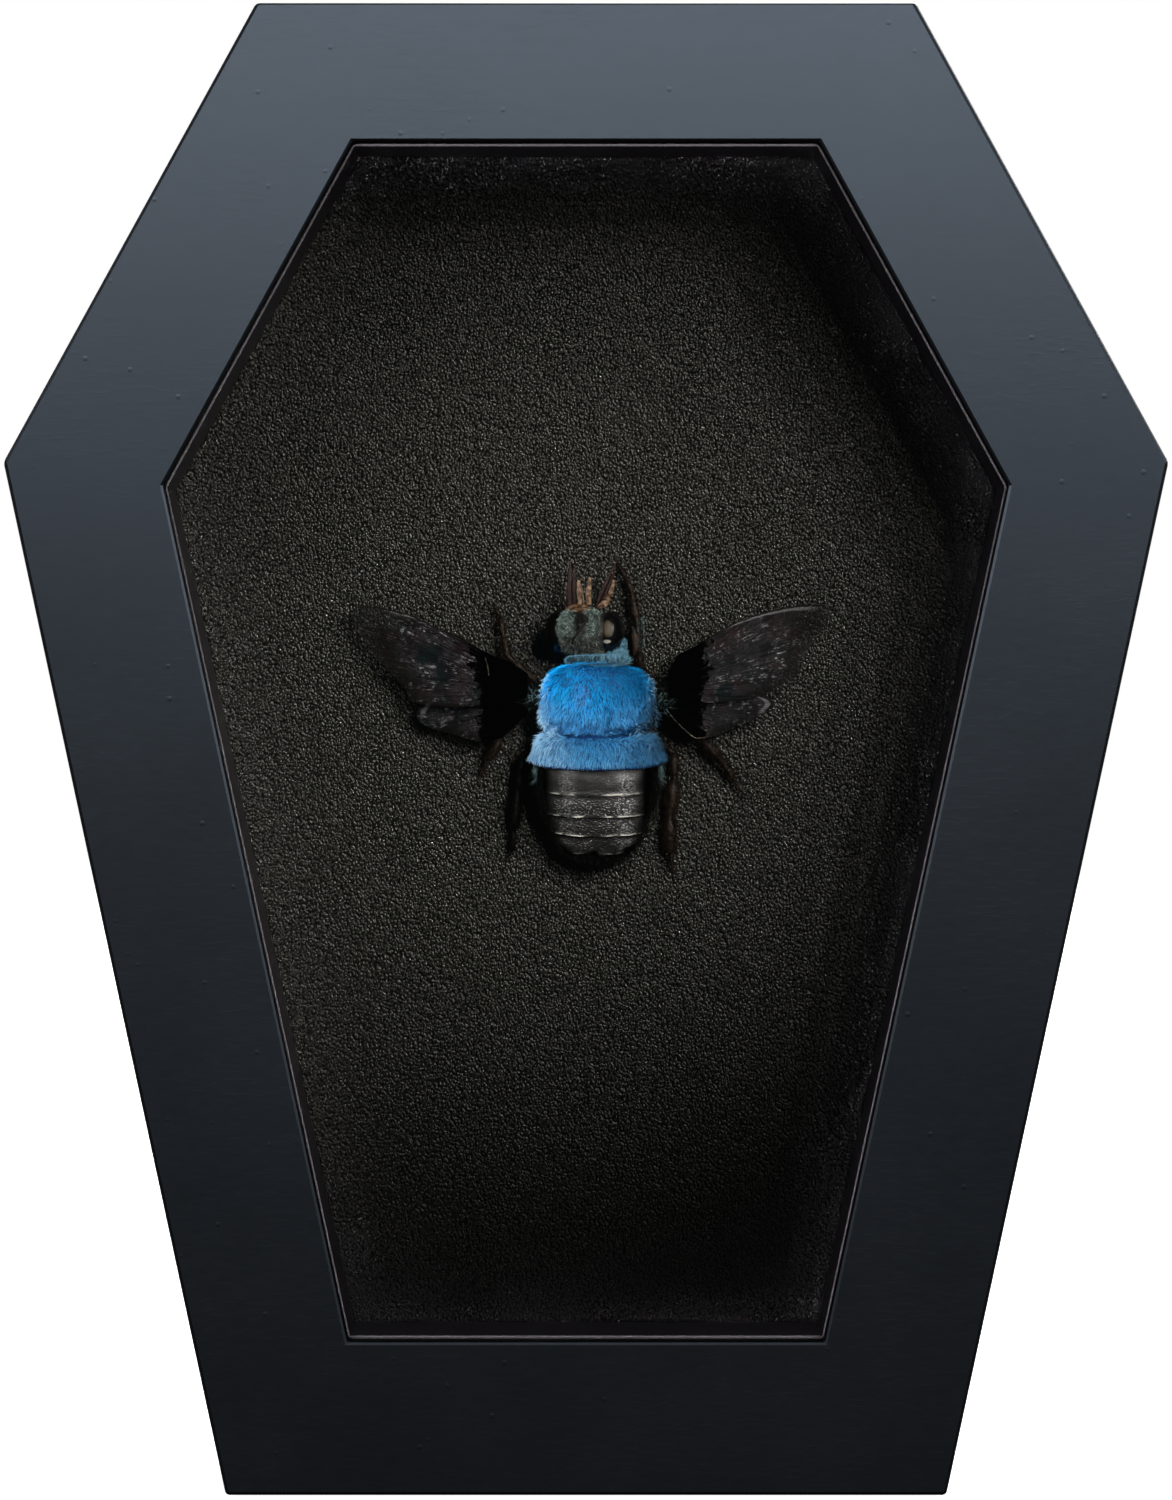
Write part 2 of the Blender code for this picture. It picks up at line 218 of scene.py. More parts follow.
def makeHairTree():
    # Tapered bent hairs all over a skin, combed away from a whorl and along a direction.
    # Density is per square millimetre, and the skin's own "reach" says what share of the
    # full length the hairs have at a place
    tree, given = newTree("hair coat", {
        "Density": 40.0, "Length": 1.0 * mm, "Shortest": 0.6, "Thickness": 0.03 * mm,
        "Lift": 0.5, "Disorder": 0.2, "Droop": 0.3, "Tuft Size": 1.0 * mm, "Tufting": 0.0,
        "Whorl": (0.0, 0.0, 0.0), "Pull": 1.0, "Comb": (0.0, 0.0, 0.0), "Seed": 1})
    points = Wire(tree).node("GeometryNodeDistributePointsOnFaces", {}, {
        "Mesh": given["Geometry"], "Density": given["Density"] * 1e6,
        "Seed": given["Seed"]})
    normal = points.other("Normal")
    spot = points.node("GeometryNodeInputPosition")
    away = vector("NORMALIZE", vector("SUBTRACT", spot, given["Whorl"]))
    flow = vector("ADD", away.scaled(given["Pull"]), given["Comb"])
    along = normal.scaled(vector("DOT_PRODUCT", flow, normal, out=1))
    lying = vector("NORMALIZE", vector("SUBTRACT", flow, along))
    lean = vector("ADD", lying.scaled(1 - given["Lift"]), normal.scaled(given["Lift"]))
    stray = lean.node("FunctionNodeRandomValue", {"data_type": "FLOAT_VECTOR"}, {
        0: (-1.0, -1.0, -1.0), 1: (1.0, 1.0, 1.0), "Seed": given["Seed"]})
    drift = spot.node("ShaderNodeTexNoise", {}, {
        "Vector": spot, "Scale": 1 / given["Tuft Size"], "Detail": 1.0}, out=1)
    drift = vector("SUBTRACT", drift, (0.5, 0.5, 0.5)).scaled(given["Tufting"])
    lean = vector("ADD", vector("ADD", lean, stray.scaled(given["Disorder"])), drift)
    turn = lean.node("FunctionNodeAlignRotationToVector", {"axis": "Z"}, {"Vector": lean})
    turn = turn.node("FunctionNodeAlignRotationToVector", {"axis": "X", "pivot_axis": "Z"}, {
        "Rotation": turn, "Vector": normal.scaled(-1.0)})

    hair = Wire(tree).node("GeometryNodeMeshCone", {}, {
        "Vertices": 3, "Side Segments": 2, "Radius Top": 0.0,
        "Radius Bottom": given["Thickness"], "Depth": given["Length"]})
    height = axes(hair.node("GeometryNodeInputPosition"))[2] / given["Length"]
    hair = hair.node("GeometryNodeStoreNamedAttribute", {"data_type": "FLOAT", "domain": "POINT"}, {
        "Geometry": hair, "Name": "tip", "Value": height})
    sag = height.node("ShaderNodeCombineXYZ", {}, {
        "X": height * height * given["Droop"] * given["Length"]})
    hair = hair.node("GeometryNodeSetPosition", {}, {"Geometry": hair, "Offset": sag})

    size = Wire(tree).node("FunctionNodeRandomValue", {"data_type": "FLOAT"}, {
        2: given["Shortest"], 3: 1.0, "Seed": given["Seed"] + 1}, out=1)
    reach = points.node("GeometryNodeInputNamedAttribute", {"data_type": "FLOAT"}, {
        "Name": "reach"})
    coat = points.node("GeometryNodeInstanceOnPoints", {}, {
        "Points": points, "Instance": hair, "Rotation": turn, "Scale": size * reach})
    tone = Wire(tree).node("FunctionNodeRandomValue", {"data_type": "FLOAT"}, {
        2: 0.0, 3: 1.0, "Seed": given["Seed"] + 2}, out=1)
    coat = coat.node("GeometryNodeStoreNamedAttribute", {"data_type": "FLOAT", "domain": "INSTANCE"},
                     {"Geometry": coat, "Name": "tone", "Value": tone})
    endTree(coat, given["Finish"])
    return tree


def makeTubeTree():
    # Round tubes along lines, as thick at each point as the line's own thickness says
    tree, given = newTree("tubes", {"Sides": 8})
    lines = Wire(tree).node("GeometryNodeMeshToCurve", {}, {"Mesh": given["Geometry"]})
    width = lines.node("GeometryNodeInputNamedAttribute", {"data_type": "FLOAT"}, {
        "Name": "thickness"})
    ring = lines.node("GeometryNodeCurvePrimitiveCircle", {"mode": "RADIUS"}, {
        "Resolution": given["Sides"], "Radius": 1.0})
    tubes = lines.node("GeometryNodeCurveToMesh", {}, {
        "Curve": lines, "Profile Curve": ring, "Scale": width, "Fill Caps": True})
    endTree(tubes, given["Finish"])
    return tree


hairTree, tubeTree = makeHairTree(), makeTubeTree()


def grow(skin, tree, values):
    # runs a node tree on a skin and gives back the plain mesh
    host = bpy.data.objects.new("host", skin)
    scene.collection.objects.link(host)
    step = host.modifiers.new(tree.name, "NODES")
    step.node_group = tree
    sockets = {item.name: item.identifier for item in tree.interface.items_tree
               if item.in_out == "INPUT"}
    for label, value in values.items():
        step[sockets[label]] = value
    graph = bpy.context.evaluated_depsgraph_get()
    made = bpy.data.meshes.new_from_object(host.evaluated_get(graph), depsgraph=graph,
                                           preserve_all_data_layers=True)
    bpy.data.objects.remove(host)
    return made


def piece(name, mesh, finish=None, stands=()):
    if finish:
        mesh.materials.clear()
        mesh.materials.append(finish)
    mesh.name = name
    made = bpy.data.objects.new(name, mesh)
    scene.collection.objects.link(made)
    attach(made, "root")
    if stands:
        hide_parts(*stands)
    print(name, sum(len(face.vertices) - 2 for face in mesh.polygons), "triangles")
    return made


# Tools for shapes. Bee places are across, up and out from the card, in millimetres
beeFrame = {"across": 1.25, "up": 80.9, "card": 7.0}
mergeDistance = 0.0005 * mm


def onBee(across, up, out):
    return Vector((beeFrame["across"] + across, beeFrame["card"] - out, beeFrame["up"] + up)) * mm


def fromBee(spot):
    return (spot.x / mm - beeFrame["across"], spot.z / mm - beeFrame["up"],
            beeFrame["card"] - spot.y / mm)


def beeAxes(place):
    # across and up from the middle of the bee, in millimetres
    across, _, up = axes(place)
    return across / mm - beeFrame["across"], up / mm - beeFrame["up"]


def meshFrom(name, points, faces, uvs=None):
    mesh = bpy.data.meshes.new(name)
    mesh.from_pydata([tuple(p) for p in points], [], faces)
    if uvs:
        layer = mesh.uv_layers.new(name="UVMap")
        for loop in mesh.loops:
            layer.data[loop.index].uv = uvs[loop.vertex_index]
    shape = bmesh.new()
    shape.from_mesh(mesh)
    bmesh.ops.remove_doubles(shape, verts=shape.verts, dist=mergeDistance)
    bmesh.ops.recalc_face_normals(shape, faces=shape.faces)
    shape.to_mesh(mesh)
    shape.free()
    mesh.shade_smooth()
    return mesh


def smoothPath(points, count):
    # a smooth line through the points, in any number of dimensions
    line, last = [], len(points) - 1
    for step in range(count):
        at = step / (count - 1) * last
        index = min(int(at), last - 1)
        part = at - index
        a, b, c, d = (points[min(max(index + k, 0), last)] for k in (-1, 0, 1, 2))
        line.append([0.5 * (2 * q + (r - p) * part + (2 * p - 5 * q + 4 * r - s) * part ** 2
                            + (3 * q - p - 3 * r + s) * part ** 3)
                     for p, q, r, s in zip(a, b, c, d)])
    return line


def ringFaces(rows, around, keep=None):
    # faces between rows of points that run all the way round; keep(row, step) says which stay
    faces = []
    for row in range(rows - 1):
        for step in range(around):
            beside = (step + 1) % around
            if not keep or keep(row, step):
                faces.append((row * around + step, row * around + beside,
                              (row + 1) * around + beside, (row + 1) * around + step))
    return faces


def signedPower(value, power):
    return math.copysign(abs(value) ** power, value)


def roundedSkin(centre, half, power=1.0, detail=(48, 32), turn=0.0, flare=0.0, rough=0.0,
                keep=None, crown=None):
    # a sphere drawn towards a box below power 1, and by crown from front to back;
    # keep(direction) says which part of it stays
    around, rows = detail
    spin = Matrix.Rotation(turn, 3, "Z")
    directions, points = [], []
    for row in range(rows + 1):
        fall = row / rows * math.pi
        for step in range(around):
            angle = step / around * math.tau
            at = Vector((math.sin(fall) * math.cos(angle), math.sin(fall) * math.sin(angle),
                         math.cos(fall)))
            lump = 1 + rough * noise.noise(at * 2.6 + centre / mm)
            spread = (1 - flare * at.z) * lump
            directions.append(at)
            points.append(centre + spin @ Vector((half[0] * spread * signedPower(at.x, power),
                                                  half[1] * lump * signedPower(at.y, crown or power),
                                                  half[2] * lump * signedPower(at.z, power))) * mm)

    def stays(row, step):
        beside = (step + 1) % around
        corners = (row * around + step, row * around + beside,
                   (row + 1) * around + beside, (row + 1) * around + step)
        return keep(sum((directions[corner] for corner in corners), Vector()) / 4)

    return meshFrom("skin", points, ringFaces(rows + 1, around, stays if keep else None))


def turnedSkin(rows, place, flat, tilt, around=96, power=1.0, keep=None, lumps=0.0):
    # rows of (radius, up, v), turned round the body's own axis and flattened towards the card
    # keep(side, front, row) says which faces stay
    points, uvs = [], []
    lean = Matrix.Rotation(tilt, 3, "X")
    for radius, up, v in rows:
        for step in range(around):
            angle = step / around * math.tau
            side, front = signedPower(math.cos(angle), power), signedPower(math.sin(angle), power)
            spot = Vector((side * radius, -front * radius * flat, up))
            spot *= 1 + lumps * noise.noise(spot * 0.9)
            points.append(onBee(*place) + lean @ spot * mm)
            uvs.append((step / around, v))

    def stays(row, step):
        angle = (step + 0.5) / around * math.tau
        return keep(math.cos(angle), math.sin(angle), row)

    return meshFrom("turned", points, ringFaces(len(rows), around, stays if keep else None), uvs)


def joined(meshes):
    shape = bmesh.new()
    for mesh in meshes:
        shape.from_mesh(mesh)
    whole = bpy.data.meshes.new("joined")
    shape.to_mesh(whole)
    shape.free()
    whole.shade_smooth()
    return whole


def tubes(paths, sides, finish):
    # each path is a list of (across, up, out, radius)
    points, edges, widths = [], [], []
    for path in paths:
        start = len(points)
        points += [onBee(*spot[:3]) for spot in path]
        widths += [spot[3] * mm for spot in path]
        edges += [(start + i, start + i + 1) for i in range(len(path) - 1)]
    skin = bpy.data.meshes.new("lines")
    skin.from_pydata([tuple(p) for p in points], edges, [])
    skin.attributes.new("thickness", "FLOAT", "POINT").data.foreach_set("value", widths)
    return grow(skin, tubeTree, {"Sides": sides, "Finish": finish})


def beads(spots, radius, waist, count):
    # a line that swells and narrows, from its radius down to the waist's share of it
    return [[(*spot, radius * (waist + (1 - waist) * abs(math.sin(index * 0.7))))
             for index, spot in enumerate(smoothPath(spots, count))]]


def coat(name, skin, settings, finish, slotName, stands=(), reach=None):
    # settings are the hair tree's inputs, with sizes in millimetres and the whorl as a bee place
    share = skin.attributes.new("reach", "FLOAT", "POINT")
    share.data.foreach_set("value", [reach(*fromBee(vert.co)) if reach else 1.0
                                     for vert in skin.vertices])
    values = {label: value * mm if label in ("Length", "Thickness", "Tuft Size") else value
              for label, value in settings.items()}
    if "Whorl" in settings:
        values["Whorl"] = tuple(onBee(*settings["Whorl"]))
    piece(name, grow(skin, hairTree, {**values, "Finish": finish}), stands=stands)


# Floor, light and surroundings
studio = {
    "floor": 0.9, "floorGlow": 1.0, "floorSide": 16.0, "room": (0.016, 0.0165, 0.018),
    "panels": {
        # name: width, height, place, aim, watts, colour
        "sky": (1.2, 0.10, (0.0, -0.61, 0.26), (0.0, 0.0, 0.09), 4.7, (0.67, 0.815, 1.0)),
        "low": (0.6, 0.10, (0.0, -0.60, 0.04), (0.0, 0.0, 0.12), 6.5, (1.0, 0.94, 1.0)),
        "well": (0.5, 0.2, (0.0, -0.5, 0.5), (0.0, 0.0, 0.02), 3.0, (0.9, 0.92, 1.0)),
        "rear": (1.2, 0.8, (0.5, 1.3, 0.9), (0.0, 0.0, 0.08), 14.0, (1.0, 1.0, 1.0)),
        "side left": (0.5, 0.5, (-0.9, 0.2, 0.3), (0.0, 0.0, 0.08), 4.0, (1.0, 1.0, 1.0)),
        "side right": (0.5, 0.5, (0.9, 0.2, 0.3), (0.0, 0.0, 0.08), 4.0, (1.0, 1.0, 1.0)),
    },
    "pool": (-0.008, 0.007, 0.0835), "bee": (0.001, 0.003, 0.081),
    "lamps": {
        # name: place, watts, cone in degrees, size
        "key low": ((0.26, -0.85, 0.24), 6.3, 6.9, 0.02),
        "key middle": ((0.42, -0.82, 0.32), 6.3, 6.7, 0.02),
        "key outer": ((0.58, -0.76, 0.38), 6.6, 6.1, 0.02),
        "key high": ((0.42, -0.76, 0.50), 6.0, 7.2, 0.02),
        "key inner": ((0.22, -0.80, 0.42), 6.0, 7.2, 0.02),
        "bee left": ((-0.50, -0.78, 0.24), 42.0, 6.0, 0.06),
        "bee high": ((-0.22, -0.76, 0.46), 46.0, 6.0, 0.06),
        "bee low": ((0.16, -0.80, 0.02), 22.0, 5.0, 0.05),
        "pile left": ((-0.52, -0.78, 0.24), 96.0, 6.0, 0.06),
        "pile high": ((-0.20, -0.76, 0.48), 96.0, 6.0, 0.06),
        "shine right": ((0.46, -0.80, 0.17), 60.0, 6.0, 0.05),
        "shine left": ((-0.46, -0.80, 0.15), 36.0, 6.0, 0.05),
    },
    # first word of a lamp's name: colour
    "tints": {"key": (1.0, 0.96, 0.86), "bee": (1.0, 0.98, 0.94), "pile": (1.0, 0.98, 0.94),
              "shine": (1.0, 0.98, 0.96)},
    # first word of a light's name: names that it reaches alone, names that it leaves out
    "reaches": {
        "sky": (("front_fascia",), ()),
        "low": (("box_rim",), ()),
        "well": (("box_rim",), ()),
        "key": ((), ("front_fascia", "thorax", "first_ring")),
        "bee": ((), ("front_fascia", "box_rim", "back_board", "backing_card", "forewing",
                     "hindwing", "foreleg", "midleg", "hindleg", "eye_left")),
        "pile": (("thorax", "first_ring"), ()),
        "shine": (("abdomen_rings",), ()),
    },
}


def pointLights():
    # each kind of light reaches only its own pieces, so that front, well, card and bee are lit apart
    for light in [thing for thing in scene.objects if thing.type == "LIGHT"]:
        only, never = studio["reaches"].get(light.name.split()[0], ((), ()))
        if not only and not never:
            continue
        group = bpy.data.collections.new("lit by " + light.name)
        for thing in scene.objects:
            wanted = thing.name.startswith(only) if only else not thing.name.startswith(never)
            if thing.type == "MESH" and wanted:
                group.objects.link(thing)
        light.light_linking.receiver_collection = group


def hang(light, place, aim, watts, colour):
    light.energy, light.color = watts, colour
    lamp = bpy.data.objects.new(light.name, light)
    scene.collection.objects.link(lamp)
    lamp.location = place
    lamp.rotation_euler = (Vector(aim) - Vector(place)).to_track_quat("-Z", "Y").to_euler()
    lamp.visible_camera = False


def makeStudio():
    for name, (width, height, place, aim, watts, colour) in studio["panels"].items():
        light = bpy.data.lights.new(name, "AREA")
        light.shape, light.size, light.size_y = "RECTANGLE", width, height
        hang(light, place, aim, watts, colour)
    for name, (place, watts, cone, size) in studio["lamps"].items():
        light = bpy.data.lights.new(name, "SPOT")
        light.spot_size, light.spot_blend, light.shadow_soft_size = math.radians(cone), 1.0, size
        kind = name.split()[0]
        hang(light, place, studio["pool" if kind == "key" else "bee"], watts, studio["tints"][kind])

    world = bpy.data.worlds.new("room")
    scene.world = world
    world.use_nodes = True
    tree = world.node_tree
    tree.nodes.clear()
    seen = Wire(tree).node("ShaderNodeLightPath", out="Is Camera Ray")
    shade = seen.node("ShaderNodeBackground", {}, {
        "Color": seen.blend(studio["room"], (1.0, 1.0, 1.0))})
    shade.node("ShaderNodeOutputWorld", {}, {"Surface": shade})

    def floorRecipe(place):
        mottle = grain(place, 0.3, detail=2)
        white = mottle.blend((studio["floor"],) * 3, (studio["floor"] * 0.97,) * 3)
        return {"Base Color": white, "Emission Color": (1.0, 1.0, 1.0, 1.0), "Roughness": 0.9,
                "Emission Strength": studio["floorGlow"]}

    side = studio["floorSide"] / 2
    mesh = meshFrom("floor", [Vector((x, y, -0.0002)) for x, y in
                              ((-side, -side), (side, -side), (side, side), (-side, side))],
                    [(0, 1, 2, 3)])
    finish = newFinish("pale floor", floorRecipe)
    mesh.materials.append(finish)
    floor = bpy.data.objects.new("floor", mesh)
    scene.collection.objects.link(floor)
    floor.visible_glossy = False
    floor.visible_diffuse = False
    scene.view_settings.view_transform = "Standard"


makeStudio()
print("studio lit")


# Case
# the front and the box rim are one black paint: the front is painted much darker as painted shade, and
# the rim lighter as painted light on the walls of the well
paint = {"front": (rgb(3, 2, 2), rgb(6, 4, 4)), "inside": (rgb(28, 24, 28), rgb(28, 24, 28)),
         "roughness": 0.325, "fibre": 0.45 * mm, "depth": 0.012 * mm}
liner = {"black": rgb(4, 4, 3), "litPebbleTop": rgb(34, 34, 27), "pebble": 0.27 * mm,
         "depth": 0.055 * mm, "roughness": 0.25}
pane = {"alpha": 0.05, "haze": 0.03}
board = {"dark": rgb(28, 25, 23), "fleck": rgb(62, 54, 46)}


def paintRecipe(colours):
    def recipe(place):
        fibre = grain(place, paint["fibre"], detail=3.0, rough=0.6, stretch=(3.4, 3.4, 0.8))
        peel = grain(place, 2.4 * mm, detail=2.0, rough=0.6)
        cloud = grain(place, 17 * mm, detail=2.0)
        nib = cells(place, 3.4 * mm).ease(0.09, 0.03)
        marks = fibre.ease(0.50, 0.72) * cloud.ease(0.35, 0.65, 0.15, 0.45)
        return {
            "Base Color": cloud.ease(0.4, 0.7).blend(*colours),
            "Roughness": paint["roughness"] + 0.05 * (fibre - 0.5) + 0.04 * (cloud - 0.5),
            "Normal": bump(0.35 * marks + 0.5 * peel + 0.8 * nib, paint["depth"]),
        }
    return recipe


def linerRecipe(place):
    # pebble grain: rounded cells with the hollows between them, pulled about by a slow noise
    drift = grain(place, 0.8 * mm, detail=1.0).other(1)
    moved = vector("ADD", place, vector("SUBTRACT", drift, (0.5, 0.5, 0.5)).scaled(0.35 * mm))
    pebble = cells(moved, liner["pebble"], "SMOOTH_F1", stretch=(0.95, 1, 1.15), Smoothness=0.2)
    fine = grain(place, 0.11 * mm, detail=2.0)
    patch = grain(place, 9 * mm, detail=2.0)
    dome = 1 - 1.9 * pebble * pebble
    # the colour is painted dark in the hollows between the pebbles as painted shade, and lighter on
    # their tops as painted light
    return {
        "Base Color": (dome * 0.7 + patch * 0.3).blend(liner["black"], liner["litPebbleTop"]),
        "Roughness": liner["roughness"] + 0.16 * fine - 0.08 * dome,
        "Normal": bump(dome + 0.10 * fine, liner["depth"]),
    }


def paneRecipe(place):
    smear = grain(place, 12 * mm, detail=4.0, rough=0.65)
    return {"Base Color": (0.004, 0.005, 0.005, 1.0), "Alpha": pane["alpha"] + 0.01 * smear,
            "Roughness": 0.01 + pane["haze"] * smear.ease(0.45, 0.8), "IOR": 1.5}


def boardRecipe(place):
    fleck = grain(place, 0.5 * mm, detail=4.0, rough=0.7, stretch=(3, 1, 1))
    cross = grain(place, 0.5 * mm, detail=4.0, rough=0.7, stretch=(1, 1, 3), start=(0.4, 0, 0))
    pulp = calc("MAXIMUM", fleck, cross)
    return {"Base Color": pulp.ease(0.45, 0.75).blend(board["dark"], board["fleck"]),
            "Roughness": 0.75 + 0.15 * fleck, "Normal": bump(pulp, 0.06 * mm)}


for name, recipe, gloss in (
    ("front_fascia", paintRecipe(paint["front"]), 0.5),
    ("box_rim", paintRecipe(paint["inside"]), 0.5),
    ("glass_pane", paneRecipe, 0.5),
    ("backing_card", linerRecipe, 0.4),
    ("back_board", boardRecipe, 0.25),
):
    nodes[name].data.materials.clear()
    nodes[name].data.materials.append(newFinish(name + " finish", recipe, gloss))
print("case finished")


# Blue pile
pile = {
    "root": rgb(3, 30, 62), "left": rgb(10, 168, 244), "right": rgb(8, 128, 190),
    "low": rgb(78, 156, 214), "ring": rgb(54, 134, 188), "tip": rgb(176, 216, 240),
    "violet": rgb(112, 140, 196), "lowRightShade": rgb(6, 30, 50), "clumpShade": rgb(2, 84, 140),
    "skin": (rgb(4, 34, 70), rgb(8, 58, 112)),
}


def pileRecipe(paleness, ring=False):
    def recipe(place):
        across, up = beeAxes(place)
        side, rise = across / 6.5, up / 4.2
        clump = grain(place, 0.8 * mm, detail=2.0)
        tip, tone = attribute(place, "tip"), attribute(place, "tone")
        # painted shade: the pile is coloured darker on the right than on the left, for light from the
        # left
        shade = (side + 0.3 * clump).ease(0.0, 0.5).blend(pile["left"], pile["right"])
        bruise = (square(side + 0.27) * 22 + square(rise - 0.1) * 6 + 2.4 * clump).ease(2.1, 1.1)
        shade = (0.42 * bruise).blend(shade, pile["violet"])
        # paler towards the lower edge: paler pile with painted light where the surface turns away from
        # the lamps
        low = (square(side) * 0.5 - rise + 0.5 * clump).ease(0.05, 1.05)
        shade = low.blend(shade, pile["ring" if ring else "low"])
        # painted shade towards the lower right
        lowRightShade = (side - 0.25 * rise + 0.2 * clump).ease(0.78, 1.06)
        # darker patches: painted shade between hair clumps, less towards the tips
        cloud = grain(place, 2.4 * mm, detail=2.0, start=(0.4, 0.2, 0.6))
        shade = (cloud.ease(0.50, 0.66) * 0.55 * (1 - tip * 0.4)).blend(shade, pile["clumpShade"])
        shade = ((0.4 if ring else 0.85) * lowRightShade).blend(shade, pile["lowRightShade"])
        fade = tip * (0.30 + 0.5 * clump) + 0.40 * tone * tip
        edge = (square(side) + paleness - 0.45 * rise).ease(0.35, 1.5) * (1 - 0.6 * lowRightShade)
        shade = (fade * edge).ease(0.05, 0.8).blend(shade, pile["tip"])
        # the roots are painted dark as shade inside the coat
        return {"Base Color": (1 - tip).ease(0.72, 1.0).blend(shade, pile["root"]),
                "Roughness": 0.5 + 0.2 * tone}
    return recipe


blueHair = newFinish("blue pile", pileRecipe(0.0), gloss=0.10)
spikeHair = newFinish("pale blue spikes", pileRecipe(0.75), gloss=0.3)
paleHair = newFinish("first ring pile", pileRecipe(0.15, True), gloss=0.2)


def skinRecipe(place):
    lump = cells(place, 0.22 * mm)
    return {"Base Color": grain(place, 0.8 * mm).blend(*pile["skin"]),
            "Roughness": 0.6 + 0.2 * lump, "Normal": bump(lump, 0.03 * mm)}


blueSkin = newFinish("skin under the pile", skinRecipe, gloss=0.2)

thorax = {"centre": (0.0, 0.35, 4.9), "half": (5.55, 3.5, 3.55), "power": 0.60, "crown": 0.85,
          "flare": 0.08, "rough": 0.04}


def thoraxSkin(**more):
    return roundedSkin(onBee(*thorax["centre"]), thorax["half"], thorax["power"],
                       crown=thorax["crown"], flare=thorax["flare"], rough=thorax["rough"], **more)


def thoraxReach(across, up, out):
    # short at the collar, long down the sides and along the lower edge
    low = min(max((1.5 - up) / 5.0, 0.0), 1.0)
    side = min(max((abs(across) - 3.8) / 2.0, 0.0), 1.0)
    return 0.60 + 0.55 * low + 0.40 * side * (1.0 if up < 2.4 else 0.5) * (1 - 0.5 * low)


piece("thorax_body", thoraxSkin(), blueSkin, ("thorax",))
coat("thorax_pile", thoraxSkin(detail=(72, 48), keep=lambda at: at.y < 0.30),
     {"Density": 88.0, "Length": 1.25, "Shortest": 0.55,
      "Thickness": 0.040, "Lift": 0.40, "Disorder": 0.14, "Droop": 0.22,
      "Tuft Size": 0.9, "Tufting": 1.1,
      "Whorl": (-0.4, 3.9, 3.5), "Pull": 1.0, "Comb": (0.0, 0.0, -0.35),
      "Seed": 4}, blueHair, "blue_pile", ("thorax",), thoraxReach)
coat("thorax_spikes", thoraxSkin(detail=(72, 48), keep=lambda at: at.y < 0.2 and (
         abs(at.x) > 0.80 and at.z < 0.55 or abs(at.x) > 0.45 and at.z < -0.55)),
     {"Density": 15.0, "Length": 1.35, "Shortest": 0.6,
      "Thickness": 0.062, "Lift": 0.55, "Disorder": 0.16, "Droop": 0.15,
      "Tuft Size": 0.7, "Tufting": 1.3,
      "Whorl": (0.0, 1.2, 2.0), "Pull": 1.0, "Comb": (0.0, 0.0, -0.25),
      "Seed": 5}, spikeHair, "blue_pile", ("thorax",), thoraxReach)
print("thorax done")


# Abdomen: a haired first ring, then bare rings that overlap like roof tiles
abdomen = {
    "place": (0.0, -4.6, 5.35), "flat": 0.64, "tilt": math.radians(11), "power": 0.88,
    "first": [(0.3, 1.3), (3.9, 1.3), (5.75, 1.12), (6.2, 0.7), (6.45, 0.0), (6.70, -0.6),
              (6.95, -1.1), (7.08, -1.5), (6.9, -1.66), (6.0, -1.68)],
    "rings": [(6.25, 1.72, 6.15, 4.4), (6.0, 4.5, 5.65, 6.8), (5.45, 6.9, 4.85, 8.9),
              (4.65, 9.0, 3.75, 11.0)],
    "tip": [(3.45, -11.2), (3.1, -11.6), (2.4, -12.1), (1.3, -12.48), (0.4, -12.58), (0.01, -12.6)],
    "steps": 14, "swell": 0.15, "lip": 0.13,
    # how each rim folds under: in from the lip, up from the ring's end, and v
    "fold": [(0.02, -0.05, 0.97), (0.10, -0.075, 0.985), (0.26, -0.02, 0.995), (0.34, 0.06, 0.02)],
    "black": rgb(4, 4, 4), "brown": rgb(13, 12, 11), "rim": rgb(160, 158, 152),
    "highlightGrey": rgb(104, 105, 104),
}


def ringRows():
    rows = []
    for wide, top, narrow, bottom in abdomen["rings"]:
        for step in range(abdomen["steps"]):
            part = step / (abdomen["steps"] - 1)
            radius = wide + (narrow - wide) * part + abdomen["swell"] * math.sin(math.pi * part) ** 0.8
            radius += abdomen["lip"] * max(0.0, (part - 0.86) / 0.14) ** 2
            rows.append((radius, -(top + (bottom - top) * part), 0.06 + 0.88 * part))
        rows += [(narrow + abdomen["lip"] - inward, -bottom + rise, v)
                 for inward, rise, v in abdomen["fold"]]
    return rows + [(radius, up, 0.5) for radius, up in abdomen["tip"]]


def ringSkin(rows, **more):
    return turnedSkin(rows, abdomen["place"], abdomen["flat"], abdomen["tilt"],
                      power=abdomen["power"], **more)


